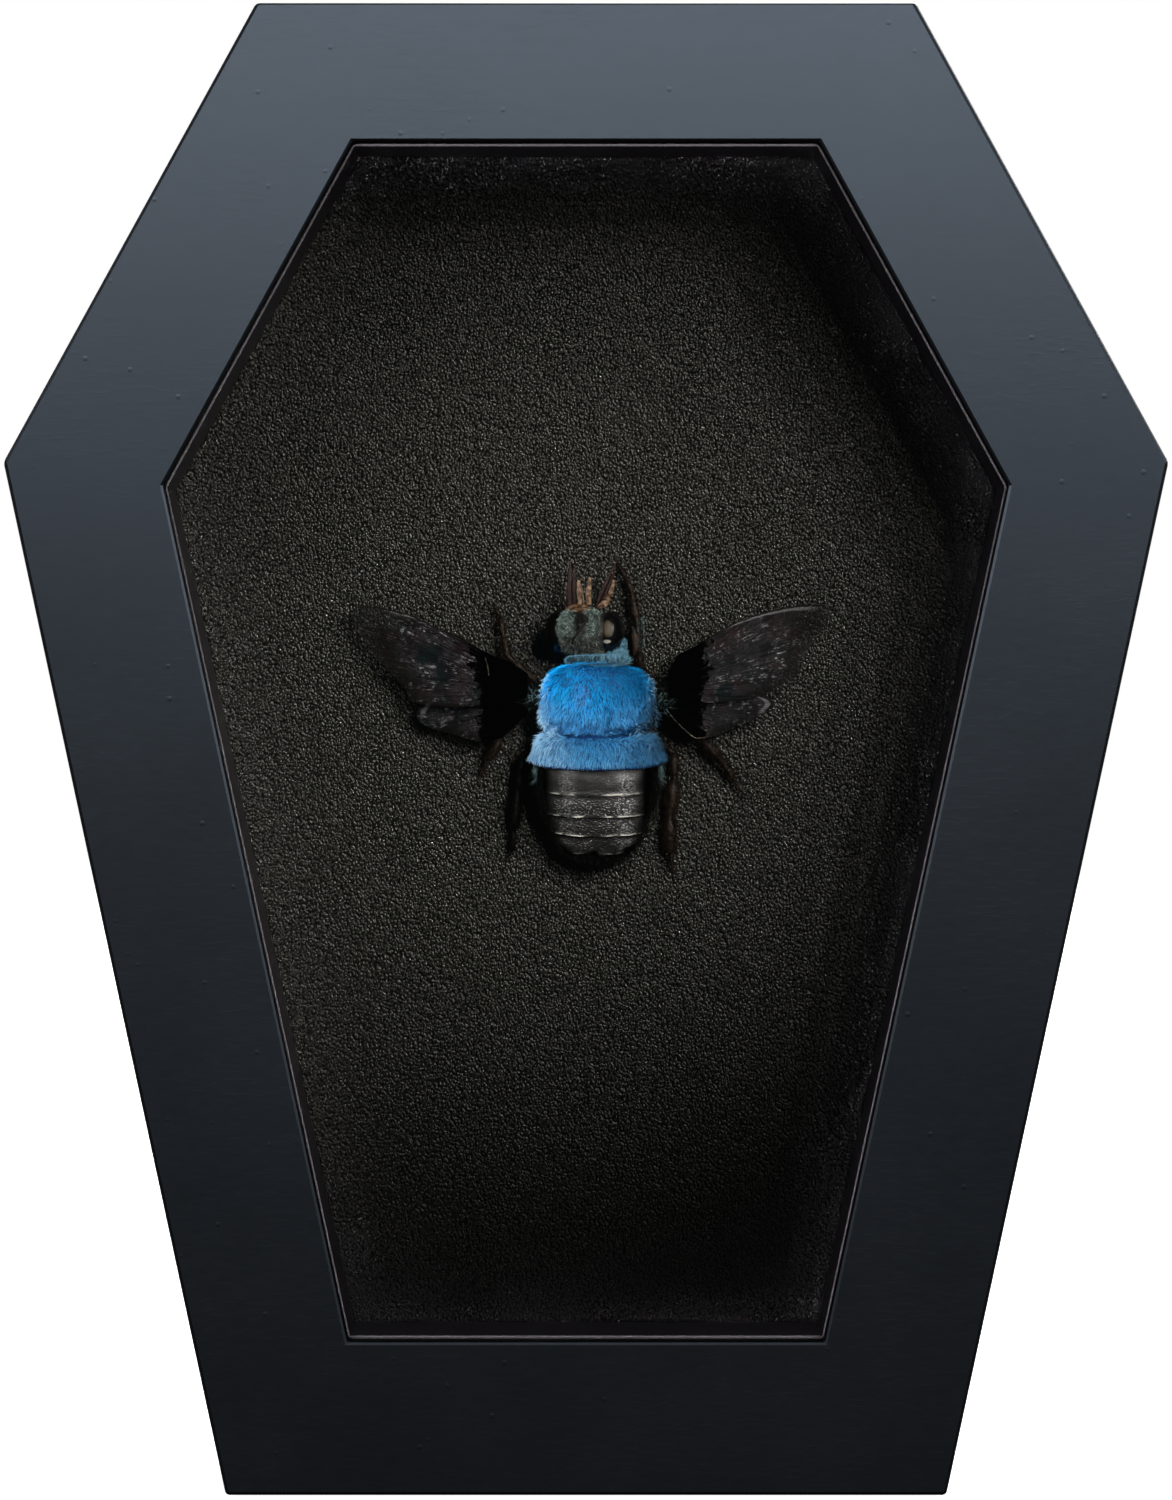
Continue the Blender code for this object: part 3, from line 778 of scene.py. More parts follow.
def ringRecipe(place):
    along = axes(place.node("ShaderNodeTexCoord", out="UV"))[1]
    pits = cells(place, 0.22 * mm, "SMOOTH_F1", stretch=(1.3, 1, 0.8), Smoothness=0.3)
    fine = grain(place, 0.10 * mm, detail=2.0, stretch=(2.5, 1, 0.8))
    cloud = grain(place, 1.6 * mm, detail=2.0)
    across, up = beeAxes(place)
    # painted highlights on the rims on both sides of the middle, over their pale margin, with a
    # painted shadow beneath each rim and at the top of each ring under the one before
    lit = cloud.ease(0.40, 0.56) * calc("ABSOLUTE", across + 0.4).ease(0.5, 1.6)
    rim = along.ease(0.875, 0.93) * along.ease(0.975, 0.955)
    lipShadow = calc("MAXIMUM", along.ease(0.955, 0.975), along.ease(0.32, 0.08) * 0.85)
    middle = along.ease(0.02, 0.5)
    lower = up.ease(-9.3, -10.3, 0.35, 1.0)
    # the sides and the tail are painted black with no sheen: painted shade where the surface turns
    # away
    side = (across + 0.3) / 6.4
    edge = (square(side) + 0.12 * cloud).ease(0.34, 0.74)
    foot = (up - 2.2 * square(side) + 1.8 * (cloud - 0.5)).ease(-15.0, -16.1)
    edge = calc("MAXIMUM", edge, foot)
    # dark holds all the painted shadow and painted shade
    dark = calc("MAXIMUM", lipShadow, edge)
    shade = cloud.ease(0.35, 0.75).blend(abdomen["black"], abdomen["brown"])
    # painted highlight: grey speckle right and left of the middle
    bright = calc("ABSOLUTE", (side - 0.52) * 4.4).ease(1.0, 0.2)
    faint = calc("ABSOLUTE", (side + 0.47) * 5.0).ease(1.0, 0.2)
    speckle = (pits * 0.6 + 0.8 * fine).ease(0.80, 0.45) * (0.25 + 0.75 * middle)
    shade = (speckle * (0.9 * bright + 0.5 * faint)).blend(shade, abdomen["highlightGrey"])
    shade = (rim * lit).blend(shade, abdomen["rim"])
    return {
        "Base Color": dark.blend(shade, rgb(0, 0, 0)),
        "Roughness": 0.27 + 0.16 * pits + 0.3 * edge,
        "Metallic": dark,
        "Normal": bump((pits.ease(0.6, 0.1) + 0.35 * fine) * (0.35 + 0.65 * middle) * (1 - rim)
                       * lower + 0.25 * cloud, 0.036 * mm),
    }


ringFinish = newFinish("black ring chitin", ringRecipe, gloss=0.8)
piece("abdomen_rings", ringSkin([(0.01, -1.5, 0.5)] + ringRows(), around=120, lumps=0.012),
      ringFinish, ("abdomen",))
piece("first_ring", ringSkin([(*row, 0.5) for row in abdomen["first"]] + [(5.4, -1.62, 0.5)]),
      blueSkin, ("abdomen",))
coat("first_ring_pile", ringSkin([(*row, 0.5) for row in abdomen["first"][1:7]], around=96,
                                 keep=lambda side, front, row: front > -0.3),
     {"Density": 92.0, "Length": 0.85, "Shortest": 0.6,
      "Thickness": 0.040, "Lift": 0.36, "Disorder": 0.13, "Droop": 0.25,
      "Tuft Size": 0.6, "Tufting": 0.9,
      "Whorl": (0.0, -1.5, 5.0), "Pull": 0.55, "Comb": (0.0, 0.0, -0.9),
      "Seed": 9}, paleHair, "blue_pile", ("abdomen",))
coat("first_ring_ruff", ringSkin([(*row, 0.5) for row in abdomen["first"][1:5]], around=72,
                                 keep=lambda side, front, row: front > -0.2
                                 and abs(side) > 0.78),
     {"Density": 7.0, "Length": 0.95, "Shortest": 0.5,
      "Thickness": 0.055, "Lift": 0.7, "Disorder": 0.2, "Droop": 0.2,
      "Tuft Size": 0.5, "Tufting": 1.2,
      "Whorl": (0.0, -5.5, 5.0), "Pull": 1.0, "Comb": (0.0, 0.0, 0.1),
      "Seed": 10}, spikeHair, "blue_pile", ("abdomen",))


def darkHairRecipe(low, high):
    def recipe(place):
        tip, tone = attribute(place, "tip"), attribute(place, "tone")
        # darker towards the roots: painted shade inside the coat, mixed with random tone
        return {"Base Color": (0.5 * tip + 0.5 * tone).blend(low, high),
                "Roughness": 0.45 + 0.2 * tone}
    return recipe


blackHair = newFinish("black bristles", darkHairRecipe(rgb(1, 1, 1), rgb(8, 6, 5)), gloss=0.10)
brownHair = newFinish("brown bristles", darkHairRecipe(rgb(6, 4, 3), rgb(54, 40, 30)), gloss=0.12)
tuftHair = newFinish("grey blue tufts", darkHairRecipe(rgb(40, 62, 66), rgb(150, 190, 196)), gloss=0.2)

lastRows = len(ringRows()) - len(abdomen["tip"]) - 6
coat("abdomen_fringe", ringSkin(ringRows(), around=72, keep=lambda side, front, row: (
         front > -0.4 and (abs(side) > 0.86 or row > lastRows))),
     {"Density": 26.0, "Length": 1.25, "Shortest": 0.4,
      "Thickness": 0.028, "Lift": 0.45, "Disorder": 0.3, "Droop": 0.25,
      "Whorl": (0.0, -6.0, 5.0), "Pull": 0.6, "Comb": (0.0, 0.0, -0.8),
      "Seed": 12}, blackHair, "black_chitin", ("abdomen",))
for side, name in ((-1, "left"), (1, "right")):
    coat("side_tuft_" + name, roundedSkin(onBee(side * 6.35, -6.9, 5.0), (0.2, 0.7, 0.8),
                                          detail=(16, 12)),
         {"Density": 60.0, "Length": 1.7, "Shortest": 0.5,
          "Thickness": 0.034, "Lift": 0.1, "Disorder": 0.12, "Droop": 0.1,
          "Comb": (side * 0.1, 0.0, -2.5), "Seed": 20 + side}, tuftHair, "blue_pile", ("abdomen",))
print("abdomen done")


# Head
head = {"centre": (-1.3, 7.3, 4.9), "half": (3.75, 2.95, 2.8), "turn": math.radians(-14),
        "eyeHalf": (1.25, 1.8, 2.2), "eyeOff": (2.95, -0.35, 0.0),
        "lobes": (((-2.95, 7.7, 6.55), (1.0, 1.05, 1.65)), ((-0.8, 8.1, 6.55), (0.85, 1.05, 1.45))),
        "face": rgb(88, 110, 108), "hollowShade": rgb(16, 13, 11), "low": rgb(58, 47, 41),
        "tip": rgb(176, 198, 190), "root": rgb(12, 14, 13), "skin": (rgb(9, 9, 9), rgb(24, 22, 20)),
        "eye": rgb(4, 4, 5), "patch": rgb(64, 55, 40), "glint": rgb(150, 147, 138),
        "lip": (rgb(22, 14, 9), rgb(96, 70, 44)), "fringe": (rgb(70, 122, 150), rgb(140, 192, 216)),
        "fringeRootShade": rgb(20, 44, 58)}


def faceRecipe(place):
    across, up = beeAxes(place)
    side, rise = across + 1.9, up - 8.2
    clump = grain(place, 0.5 * mm, detail=2.0)
    tip, tone = attribute(place, "tip"), attribute(place, "tone")
    # painted shade in the hollow between the face's two lobes
    hollowShade = (square(side) * 1.6 + square(rise) * 0.2 + clump).ease(1.3, 0.6)
    low = (clump - rise).ease(1.2, 2.6)
    shade = hollowShade.blend(head["face"], head["hollowShade"])
    shade = low.blend(shade, head["low"])
    shade = (tip * (0.5 * tone + 0.6 * clump) * (1 - hollowShade)).ease(0.2, 0.6).blend(
        shade, head["tip"])
    # the roots are painted dark as shade inside the pile
    return {"Base Color": (1 - tip).ease(0.5, 1.0).blend(shade, head["root"]),
            "Roughness": 0.6 + 0.2 * tone}


def headSkinRecipe(place):
    pits = cells(place, 0.16 * mm)
    return {"Base Color": grain(place, 0.7 * mm).blend(*head["skin"]),
            "Roughness": 0.4 + 0.3 * pits, "Normal": bump(pits, 0.03 * mm)}


def eyeRecipe(place):
    across, up = beeAxes(place)
    side, rise = (across - 0.95) / 0.72, (up - 7.6) / 0.95
    facets = cells(place, 0.055 * mm, "DISTANCE_TO_EDGE")
    wobble = grain(place, 0.45 * mm, detail=3.0)
    patch = (square(side) + square(rise) + 1.2 * wobble).ease(1.7, 0.7)
    # a painted highlight: a pale glint on the eye
    glint = (square(side) + square(rise + 1.35) * 9 + 0.5 * wobble).ease(0.7, 0.4)
    return {"Base Color": glint.blend(patch.blend(head["eye"], head["patch"]), head["glint"]),
            "Roughness": 0.18 + 0.4 * patch + 0.1 * wobble,
            "Normal": bump(facets, 0.004 * mm)}


def lipRecipe(place):
    mottle = grain(place, 0.45 * mm, detail=3.0)
    return {"Base Color": mottle.ease(0.35, 0.65).blend(*head["lip"]),
            "Roughness": 0.35 + 0.3 * mottle, "Normal": bump(mottle, 0.06 * mm)}


def fringeRecipe(place):
    clump = grain(place, 0.5 * mm, detail=2.0)
    tip, tone = attribute(place, "tip"), attribute(place, "tone")
    shade = (0.6 * clump + 0.4 * tone).blend(*head["fringe"])
    # the roots are painted dark as shade inside the fringe
    return {"Base Color": (1 - tip).ease(0.7, 1.0).blend(shade, head["fringeRootShade"]),
            "Roughness": 0.5 + 0.2 * tone}


def headPart(half, keep=None, detail=(56, 36)):
    return roundedSkin(headSpot, half, 0.85, turn=headTurn, rough=0.04, detail=detail, keep=keep)


headSpot, headTurn = onBee(*head["centre"]), head["turn"]
inset = tuple(size * 0.84 for size in head["half"])
faceHair = newFinish("grey face pile", faceRecipe, gloss=0.3)
fringeHair = newFinish("pale neck fringe", fringeRecipe, gloss=0.3)
headSkin = newFinish("head chitin", headSkinRecipe)
eyeFinish = newFinish("compound eye", eyeRecipe, gloss=0.4)
lipFinish = newFinish("golden brown lip", lipRecipe, gloss=0.25)
lobes = [roundedSkin(onBee(*spot), half, 0.9, turn=headTurn, rough=0.12, detail=(28, 20))
         for spot, half in head["lobes"]]
piece("head_capsule", joined([headPart(inset)] + lobes), headSkin, ("head",))
for side, name in ((-1, "left"), (1, "right")):
    offset = Matrix.Rotation(headTurn, 3, "Z") @ Vector((side * head["eyeOff"][0],
                                                         *head["eyeOff"][1:])) * mm
    piece("eye_" + name, roundedSkin(headSpot + offset, head["eyeHalf"], turn=headTurn),
          eyeFinish, ("head",))
piece("upper_lip", roundedSkin(onBee(-2.0, 9.55, 6.0), (1.45, 0.7, 0.6), 0.9, turn=headTurn,
                               rough=0.28), lipFinish, ("head",))
coat("face_pile", joined([headPart(inset, lambda at: at.y < -0.1 and -0.66 < at.x < 0.52
                                   and -0.9 < at.z < 0.80)] + lobes),
     {"Density": 95.0, "Length": 0.62, "Shortest": 0.4,
      "Thickness": 0.036, "Lift": 0.55, "Disorder": 0.35, "Droop": 0.3,
      "Tuft Size": 0.45, "Tufting": 1.6,
      "Whorl": (-1.9, 8.0, 6.0), "Pull": 0.8, "Comb": (0.0, 0.0, 0.3),
      "Seed": 31}, faceHair, "grey_face", ("head",))
fringes = {
    # name: centre, half size, hair length, comb, seed
    "neck_fringe": ((-0.15, 4.35, 6.3), (3.3, 1.1, 0.55), 0.85, (0.15, -0.1, 1.4), 35),
    "cheek_fringe": ((2.1, 4.85, 6.2), (0.85, 0.9, 0.6), 0.85, (0.5, -0.1, 1.2), 37),
    "eye_fringe": ((2.6, 5.75, 5.9), (0.3, 0.7, 0.75), 0.6, (0.4, -0.1, 1.0), 36),
}
for name, (spot, half, length, comb, seed) in fringes.items():
    coat(name, roundedSkin(onBee(*spot), half, 0.8, detail=(40, 20), keep=lambda at: at.y < 0.3),
         {"Density": 90.0, "Length": length, "Shortest": 0.45,
          "Thickness": 0.036, "Lift": 0.22, "Disorder": 0.22, "Droop": 0.15,
          "Tuft Size": 0.5, "Tufting": 1.3, "Pull": 0.0, "Comb": comb,
          "Seed": seed}, fringeHair, "blue_pile", ("head",),
         lambda across, up, out: min(max(0.75 + 0.2 * across, 0.55), 1.0))
print("head done")


# Mouthparts: flattened blades, and thin feelers
mouth = {"dark": (rgb(4, 1, 1), rgb(34, 8, 5)), "gold": (rgb(56, 39, 28), rgb(128, 104, 84))}


def bladeRecipe(colours):
    def recipe(place):
        lines = grain(place, 0.10 * mm, detail=2.0, stretch=(1, 1, 6))
        mottle = grain(place, 0.55 * mm, detail=3.0)
        return {"Base Color": (mottle * 0.75 + lines * 0.25).ease(0.36, 0.60).blend(*colours),
                "Roughness": 0.28 + 0.25 * lines, "Normal": bump(lines, 0.02 * mm)}
    return recipe


def bladeMesh(route, thin=0.34, steps=22, sides=10):
    # a lens-shaped section, as wide as the route says, with a wavy edge and closed ends
    line = smoothPath(route, steps)
    face, points = Vector((0.0, -1.0, 0.0)), []
    for index, (across, up, out, half) in enumerate(line):
        before, after = line[max(index - 1, 0)], line[min(index + 1, steps - 1)]
        along = (Vector((after[0], -after[2], after[1]))
                 - Vector((before[0], -before[2], before[1]))).normalized()
        wide = along.cross(face).normalized()
        wave = 1 + 0.10 * noise.noise(Vector((across * 3, up * 3, 1.7)))
        for step in range(sides):
            angle = step / sides * math.tau
            points.append(onBee(across, up, out) + (wide * math.cos(angle) * half * wave
                                                    + face * math.sin(angle) * half * thin) * mm)
    ends = [tuple(range(sides)), tuple(range((steps - 1) * sides, steps * sides))]
    return meshFrom("blade", points, ringFaces(steps, sides) + ends)


blades = {
    # piece: finish, blades of (across, up, out, half width)
    "galea_left": ("dark", [
        [(-2.95, 9.9, 5.2, 0.30), (-2.95, 12.0, 5.2, 0.32), (-2.9, 13.6, 5.15, 0.20),
         (-2.87, 15.0, 5.0, 0.03)],
        [(-2.45, 9.9, 5.35, 0.22), (-2.5, 11.8, 5.4, 0.26), (-2.45, 13.4, 5.3, 0.16),
         (-2.40, 14.5, 5.2, 0.03)]]),
    "galea_right": ("dark", [
        [(-0.15, 10.0, 5.3, 0.16), (0.62, 11.9, 5.3, 0.20), (1.35, 13.5, 5.2, 0.14),
         (2.03, 14.85, 5.0, 0.025)],
        [(0.15, 10.1, 5.1, 0.14), (0.95, 11.7, 5.1, 0.18), (1.55, 13.2, 5.05, 0.12),
         (1.9, 14.1, 5.0, 0.03)]]),
    "palp_left": ("gold", [
        [(-1.86, 10.2, 5.6, 0.20), (-1.95, 11.4, 5.65, 0.27), (-2.0, 12.7, 5.5, 0.17)],
        [(-1.45, 10.2, 5.5, 0.06), (-1.6, 11.4, 5.5, 0.05), (-1.72, 12.3, 5.4, 0.03)]]),
    "tongue": ("gold", [
        [(-0.95, 10.1, 5.5, 0.30), (-0.98, 11.4, 5.55, 0.30), (-0.90, 12.3, 5.4, 0.24),
         (-0.84, 13.0, 5.4, 0.14)]]),
    "palp_right": ("gold", [
        [(0.95, 10.7, 4.75, 0.22), (1.25, 11.7, 4.8, 0.40), (1.55, 12.8, 4.65, 0.24)]]),
    "mandible_right": ("gold", [
        [(0.05, 9.9, 6.5, 0.20), (0.65, 10.25, 6.6, 0.36), (1.3, 10.75, 6.5, 0.10)]]),
}
mouthFinish = {key: newFinish(key + " mouth blade", bladeRecipe(colours), gloss=0.12)
               for key, colours in mouth.items()}
for name, (colour, routes) in blades.items():
    piece(name + "_blade", joined([bladeMesh(route) for route in routes]),
          mouthFinish[colour], (name,))

antennae = {
    "left": [(-2.70, 6.05, 8.30), (-2.30, 6.9, 8.50), (-1.30, 8.3, 8.40), (-1.10, 8.7, 8.25),
             (-1.75, 9.2, 8.05), (-2.60, 9.3, 7.90)],
    "right": [(-0.55, 6.05, 8.35), (-0.10, 6.9, 8.35), (0.10, 8.0, 8.15), (-0.20, 8.9, 7.95),
              (-0.70, 9.6, 7.70)],
}


def limbRecipe(low, high):
    def recipe(place):
        mottle = grain(place, 0.6 * mm, detail=3.0)
        pits = cells(place, 0.13 * mm)
        return {"Base Color": mottle.ease(0.35, 0.7).blend(low, high),
                "Roughness": 0.32 + 0.3 * mottle, "Normal": bump(pits, 0.025 * mm)}
    return recipe


limbFinish = newFinish("brown black limb", limbRecipe(rgb(2, 1, 1), rgb(18, 13, 10)), gloss=0.15)
dustyFinish = newFinish("dusty feeler", limbRecipe(rgb(24, 28, 27), rgb(70, 80, 78)), gloss=0.15)
shinFinish = newFinish("brown limb", limbRecipe(rgb(10, 7, 5), rgb(62, 44, 32)), gloss=0.3)
for name, spots in antennae.items():
    finish = limbFinish if name == "left" else dustyFinish
    piece("antenna_" + name + "_beads", tubes(beads(spots, 0.125, 0.8, 45), 8, finish),
          stands=("antenna_" + name,))
print("mouth done")


# Wings: a pleated, wrinkled membrane with raised veins
wing = {"around": 200, "along": 60, "root": 7.3, "thickness": 0.09 * mm,
        "pleat": 0.09, "wrinkle": 0.085, "buckle": 0.14, "veinLift": 0.03,
        "violet": rgb(11, 9, 18), "teal": rgb(8, 26, 30), "rose": rgb(54, 26, 34),
        "highlightGrey": rgb(226, 226, 234), "base": rgb(0, 0, 0), "brown": rgb(34, 32, 28),
        "pale": rgb(48, 45, 50), "line": rgb(84, 80, 88), "vein": (rgb(4, 3, 4), rgb(30, 25, 22)),
        # how far out the black base with its painted shade reaches, and how much further for each mm
        # up
        "blackLeft": (12.2, 0.10), "blackRight": (10.9, 0.10)}
wings = {
    "forewing_left": {"outline": [
        (-9.0, 4.0), (-11.7, 5.1), (-14.2, 6.6), (-17.0, 7.8), (-20.0, 9.2), (-23.4, 10.0),
        (-25.5, 9.9), (-25.8, 8.4), (-24.0, 5.6), (-21.8, 3.0), (-20.2, 1.5), (-19.3, 0.0),
        (-15.3, -0.5), (-11.2, -0.3)],
        "root": ((-7.3, 3.0), (-7.3, 0.5)), "out": (6.2, 3.0), "pleats": 6, "seed": 3},
    "forewing_right": {"outline": [
        (8.4, 4.9), (11.0, 6.2), (14.2, 8.2), (17.8, 9.5), (21.4, 10.2), (23.8, 10.2),
        (24.5, 9.1), (23.2, 7.2), (21.5, 4.4), (20.9, 2.9), (18.9, 1.5), (17.9, 0.9),
        (14.9, 0.2), (10.7, -0.1)],
        "root": ((7.3, 3.2), (7.3, 0.5)), "out": (6.2, 3.0), "pleats": 6, "seed": 11},
    "hindwing_left": {"outline": [
        (-11.2, 0.4), (-16.4, 0.5), (-19.0, -1.0), (-18.1, -2.5), (-15.2, -3.4),
        (-12.2, -4.2), (-10.1, -3.8)],
        "root": ((-7.3, 0.3), (-7.3, -1.2)), "out": (5.4, 2.7), "pleats": 4, "seed": 21},
    "hindwing_right": {"outline": [
        (10.7, 0.6), (15.4, 1.0), (18.4, 0.0), (17.2, -1.4), (14.8, -2.5), (12.4, -3.5),
        (10.2, -3.8), (9.0, -2.9)],
        "root": ((7.3, 0.3), (7.3, -1.2)), "out": (5.4, 2.7), "pleats": 4, "seed": 30},
}


def wingSpot(shape, edge, turn, ray, lift=0):
    # across, up and out of a point on the wing: turn runs round the outline, ray out from the root
    root = Vector(shape["root"][0]).lerp(Vector(shape["root"][1]), turn)
    rim = Vector(edge[round(turn * wing["around"])])
    ragged = 1 - 0.02 * abs(noise.noise(Vector((turn * 40, 2.0, shape["seed"]))))
    across, up = root.lerp(rim, ray * ragged)
    span = max(abs(x) for x, _ in shape["outline"]) - wing["root"]
    reach = (abs(across) - wing["root"]) / span
    seed = shape["seed"]
    fold = wing["pleat"] * math.cos(turn * math.tau * shape["pleats"]) * ray
    wrinkle = wing["wrinkle"] * min(1.0, ray * 2.5) * (
        noise.noise(Vector((turn * 42, ray * 2.4, seed)))
        + 0.7 * noise.noise(Vector((turn * 96, ray * 5.0, seed + 5))))
    buckle = wing["buckle"] * ray * noise.noise(Vector((turn * 7, ray * 6, seed + 9)))
    out = shape["out"][0] + (shape["out"][1] - shape["out"][0]) * reach
    return across, up, out + fold + wrinkle + buckle + lift


def wingMesh(shape, edge):
    points, faces, uvs = [], [], []
    around, along = wing["around"], wing["along"]
    for turn in range(around + 1):
        for ray in range(along + 1):
            points.append(onBee(*wingSpot(shape, edge, turn / around, ray / along)))
            uvs.append((turn / around, ray / along))
    for turn in range(around):
        for ray in range(along):
            low = turn * (along + 1) + ray
            faces.append((low, low + 1, low + along + 2, low + along + 1))
    return meshFrom("membrane", points, faces, uvs)


def blackBase(place, wobble):
    # the wings turn black towards the body, further out at the top of each: their own dark roots with
    # painted shade over them, with no sheen
    across, rise = beeAxes(place)
    left, right = wing["blackLeft"], wing["blackRight"]
    limit = across.ease(-1.0, 1.0, left[0], right[0]) + rise * across.ease(
        -1.0, 1.0, left[1], right[1])
    return (calc("ABSOLUTE", across) + wobble - limit).ease(0.5, 0.1)


def wingRecipe(place):
    reach = calc("ABSOLUTE", beeAxes(place)[0])
    chart = place.node("ShaderNodeTexCoord", out="UV")
    turn, ray, _ = axes(chart)
    streak = grain(chart, 0.012, detail=3.0, rough=0.6, stretch=(0.6, 16, 1))
    patch = grain(place, 3.2 * mm, detail=2.0)
    other = grain(place, 2.6 * mm, detail=2.0, start=(0.3, 0.1, 0.2))
    ragged = grain(place, 0.7 * mm, detail=3.0, rough=0.6)
    base = blackBase(place, 3.6 * patch + 4.2 * ragged - 3.9)
    tint = patch.ease(0.42, 0.62).blend(wing["violet"], wing["teal"])
    tint = (other.ease(0.50, 0.72) * 0.8).blend(tint, wing["rose"])
    band = grain(chart, 0.035, detail=3.0, rough=0.6, stretch=(0.6, 9, 1), start=(0.5, 0, 0))
    tint = (band.ease(0.50, 0.68) * 0.7).blend(tint, wing["pale"])
    margin = (reach * 0.6 + ray * 7 - 1.5 * patch).ease(15.2, 19.0)
    trailing = (ray + 0.25 * patch).ease(0.84, 1.08) * turn.ease(0.45, 0.60) * turn.ease(0.99, 0.9)
    margin = calc("MAXIMUM", margin, 0.9 * trailing)
    pleat = grain(chart, 0.0065, detail=2.0, rough=0.6, stretch=(0.6, 30, 1)).ease(0.35, 0.65)
    tint = (margin * (0.35 + 0.65 * pleat)).blend(tint, wing["brown"])
    # painted highlights: broken silvery lines where the crumpled film would catch the light, over
    # painted dark and light wavy lines for the shade and sheen of its crumples
    crease = grain(chart, 0.030, detail=3.0, rough=0.6, stretch=(0.5, 9, 1), start=(0.2, 0.1, 0))
    line = calc("ABSOLUTE", crease - 0.5).ease(0.020, 0.004)
    wave = calc("SINE", crease * 75).ease(0.1, 1.0)
    fan = grain(place, 1.9 * mm, detail=2.0, start=(0.6, 0.2, 0.1)).ease(0.40, 0.58)
    tint = (0.55 * (1 - wave) * fan).blend(tint, wing["base"])
    tint = (wave * fan * (1 - margin)).blend(tint, wing["line"])
    broken = grain(place, 0.45 * mm, detail=2.0).ease(0.46, 0.60)
    zone = grain(place, 1.7 * mm, detail=2.0, start=(0.1, 0.7, 0.2)).ease(0.43, 0.59)
    glint = line * broken * zone * (1 - 0.7 * margin)
    # a painted highlight along the leading edge
    lead = turn.ease(0.04, 0.06) * turn.ease(0.40, 0.34) * ray.ease(0.90, 0.93) * ray.ease(
        0.97, 0.95) * (0.35 + 0.65 * streak)
    glint = calc("MAXIMUM", glint, 0.5 * lead)
    return {
        "Base Color": base.blend(glint.blend(tint, wing["highlightGrey"]), wing["base"]),
        "Roughness": 0.42 + 0.2 * streak + 0.2 * margin,
        "Metallic": 0.95 * base,
        "Alpha": 1 - margin * (0.86 - 0.45 * pleat) * (1 - glint),
        "Normal": bump(streak + 0.35 * wave, 0.05 * mm),
    }


def veinRecipe(place):
    mottle = grain(place, 0.6 * mm, detail=3.0)
    # the veins turn black towards the body with the membrane's painted shade
    base = blackBase(place, 0.6)
    shade = mottle.ease(0.35, 0.7).blend(*wing["vein"])
    return {"Base Color": base.blend(shade, wing["base"]), "Metallic": base,
            "Roughness": 0.4 + 0.2 * mottle}


def veinPaths(shape, edge, costal):
    # long veins out from the root, cross veins between them, and the thick leading edge
    lift, paths = wing["veinLift"], []
    for turn, end, thick in shape["veins"]:
        paths.append([(*wingSpot(shape, edge, turn, 0.04 + (end - 0.04) * step / 30, lift),
                       thick * (1 - 0.65 * step / 30)) for step in range(31)])
    for low, high, ray in shape["cross"]:
        paths.append([(*wingSpot(shape, edge, low + (high - low) * step / 12, ray, lift), 0.035)
                      for step in range(13)])
    paths.append([(*wingSpot(shape, edge, costal * step / 60, 0.985, lift),
                   0.13 * (1 - 0.7 * step / 60)) for step in range(61)])
    return paths


veins = {
    # (turn, end, thickness) of each vein, (turn, turn, ray) of each cross vein, and how far
    # round the outline the leading edge runs
    "forewing": ([(0.10, 0.9, 0.10), (0.22, 0.86, 0.08), (0.34, 0.82, 0.07), (0.46, 0.8, 0.06),
                  (0.58, 0.78, 0.06), (0.70, 0.8, 0.06), (0.82, 0.9, 0.07)],
                 [(0.22, 0.34, 0.55), (0.34, 0.46, 0.42), (0.34, 0.46, 0.66), (0.46, 0.58, 0.52),
                  (0.58, 0.70, 0.45), (0.58, 0.70, 0.68)], 0.46),
    "hindwing": ([(0.16, 0.85, 0.08), (0.34, 0.8, 0.06), (0.52, 0.8, 0.06), (0.72, 0.85, 0.05)],
                 [(0.34, 0.52, 0.5)], 0.35),
}
membrane = newFinish("smoky wing membrane", wingRecipe, gloss=0.24)
veinFinish = newFinish("wing veins", veinRecipe, gloss=0.2)
for name, shape in wings.items():
    edge = smoothPath(shape["outline"], wing["around"] + 1)
    shape["veins"], shape["cross"], costal = veins[name.split("_")[0]]
    skin = piece(name + "_membrane", wingMesh(shape, edge), membrane, (name,))
    wall = skin.modifiers.new("Thickness", "SOLIDIFY")
    wall.thickness, wall.offset = wing["thickness"], 0.0
    piece(name + "_veins", tubes(veinPaths(shape, edge, costal), 6, veinFinish),
          stands=(name,))
rims = {
    # pale beaded lines at the wings' black roots
    "hindwing_right": [(7.5, -1.3, 5.5), (8.2, -2.1, 5.45), (9.0, -2.85, 5.35), (9.7, -3.45, 5.3),
                       (10.3, -3.75, 5.2), (11.2, -3.7, 5.1)],
    "forewing_left": [(-11.75, 4.6, 5.75), (-11.6, 4.1, 5.8), (-11.45, 3.4, 5.8), (-11.4, 2.8, 5.8)],
}
paleRim = newFinish("pale wing rim", limbRecipe(rgb(34, 30, 27), rgb(138, 128, 116)), gloss=0.4)
for name, spots in rims.items():
    piece(name + "_rim", tubes(beads(spots, 0.07, 0.35, 40), 6, paleRim),
          stands=(name,))
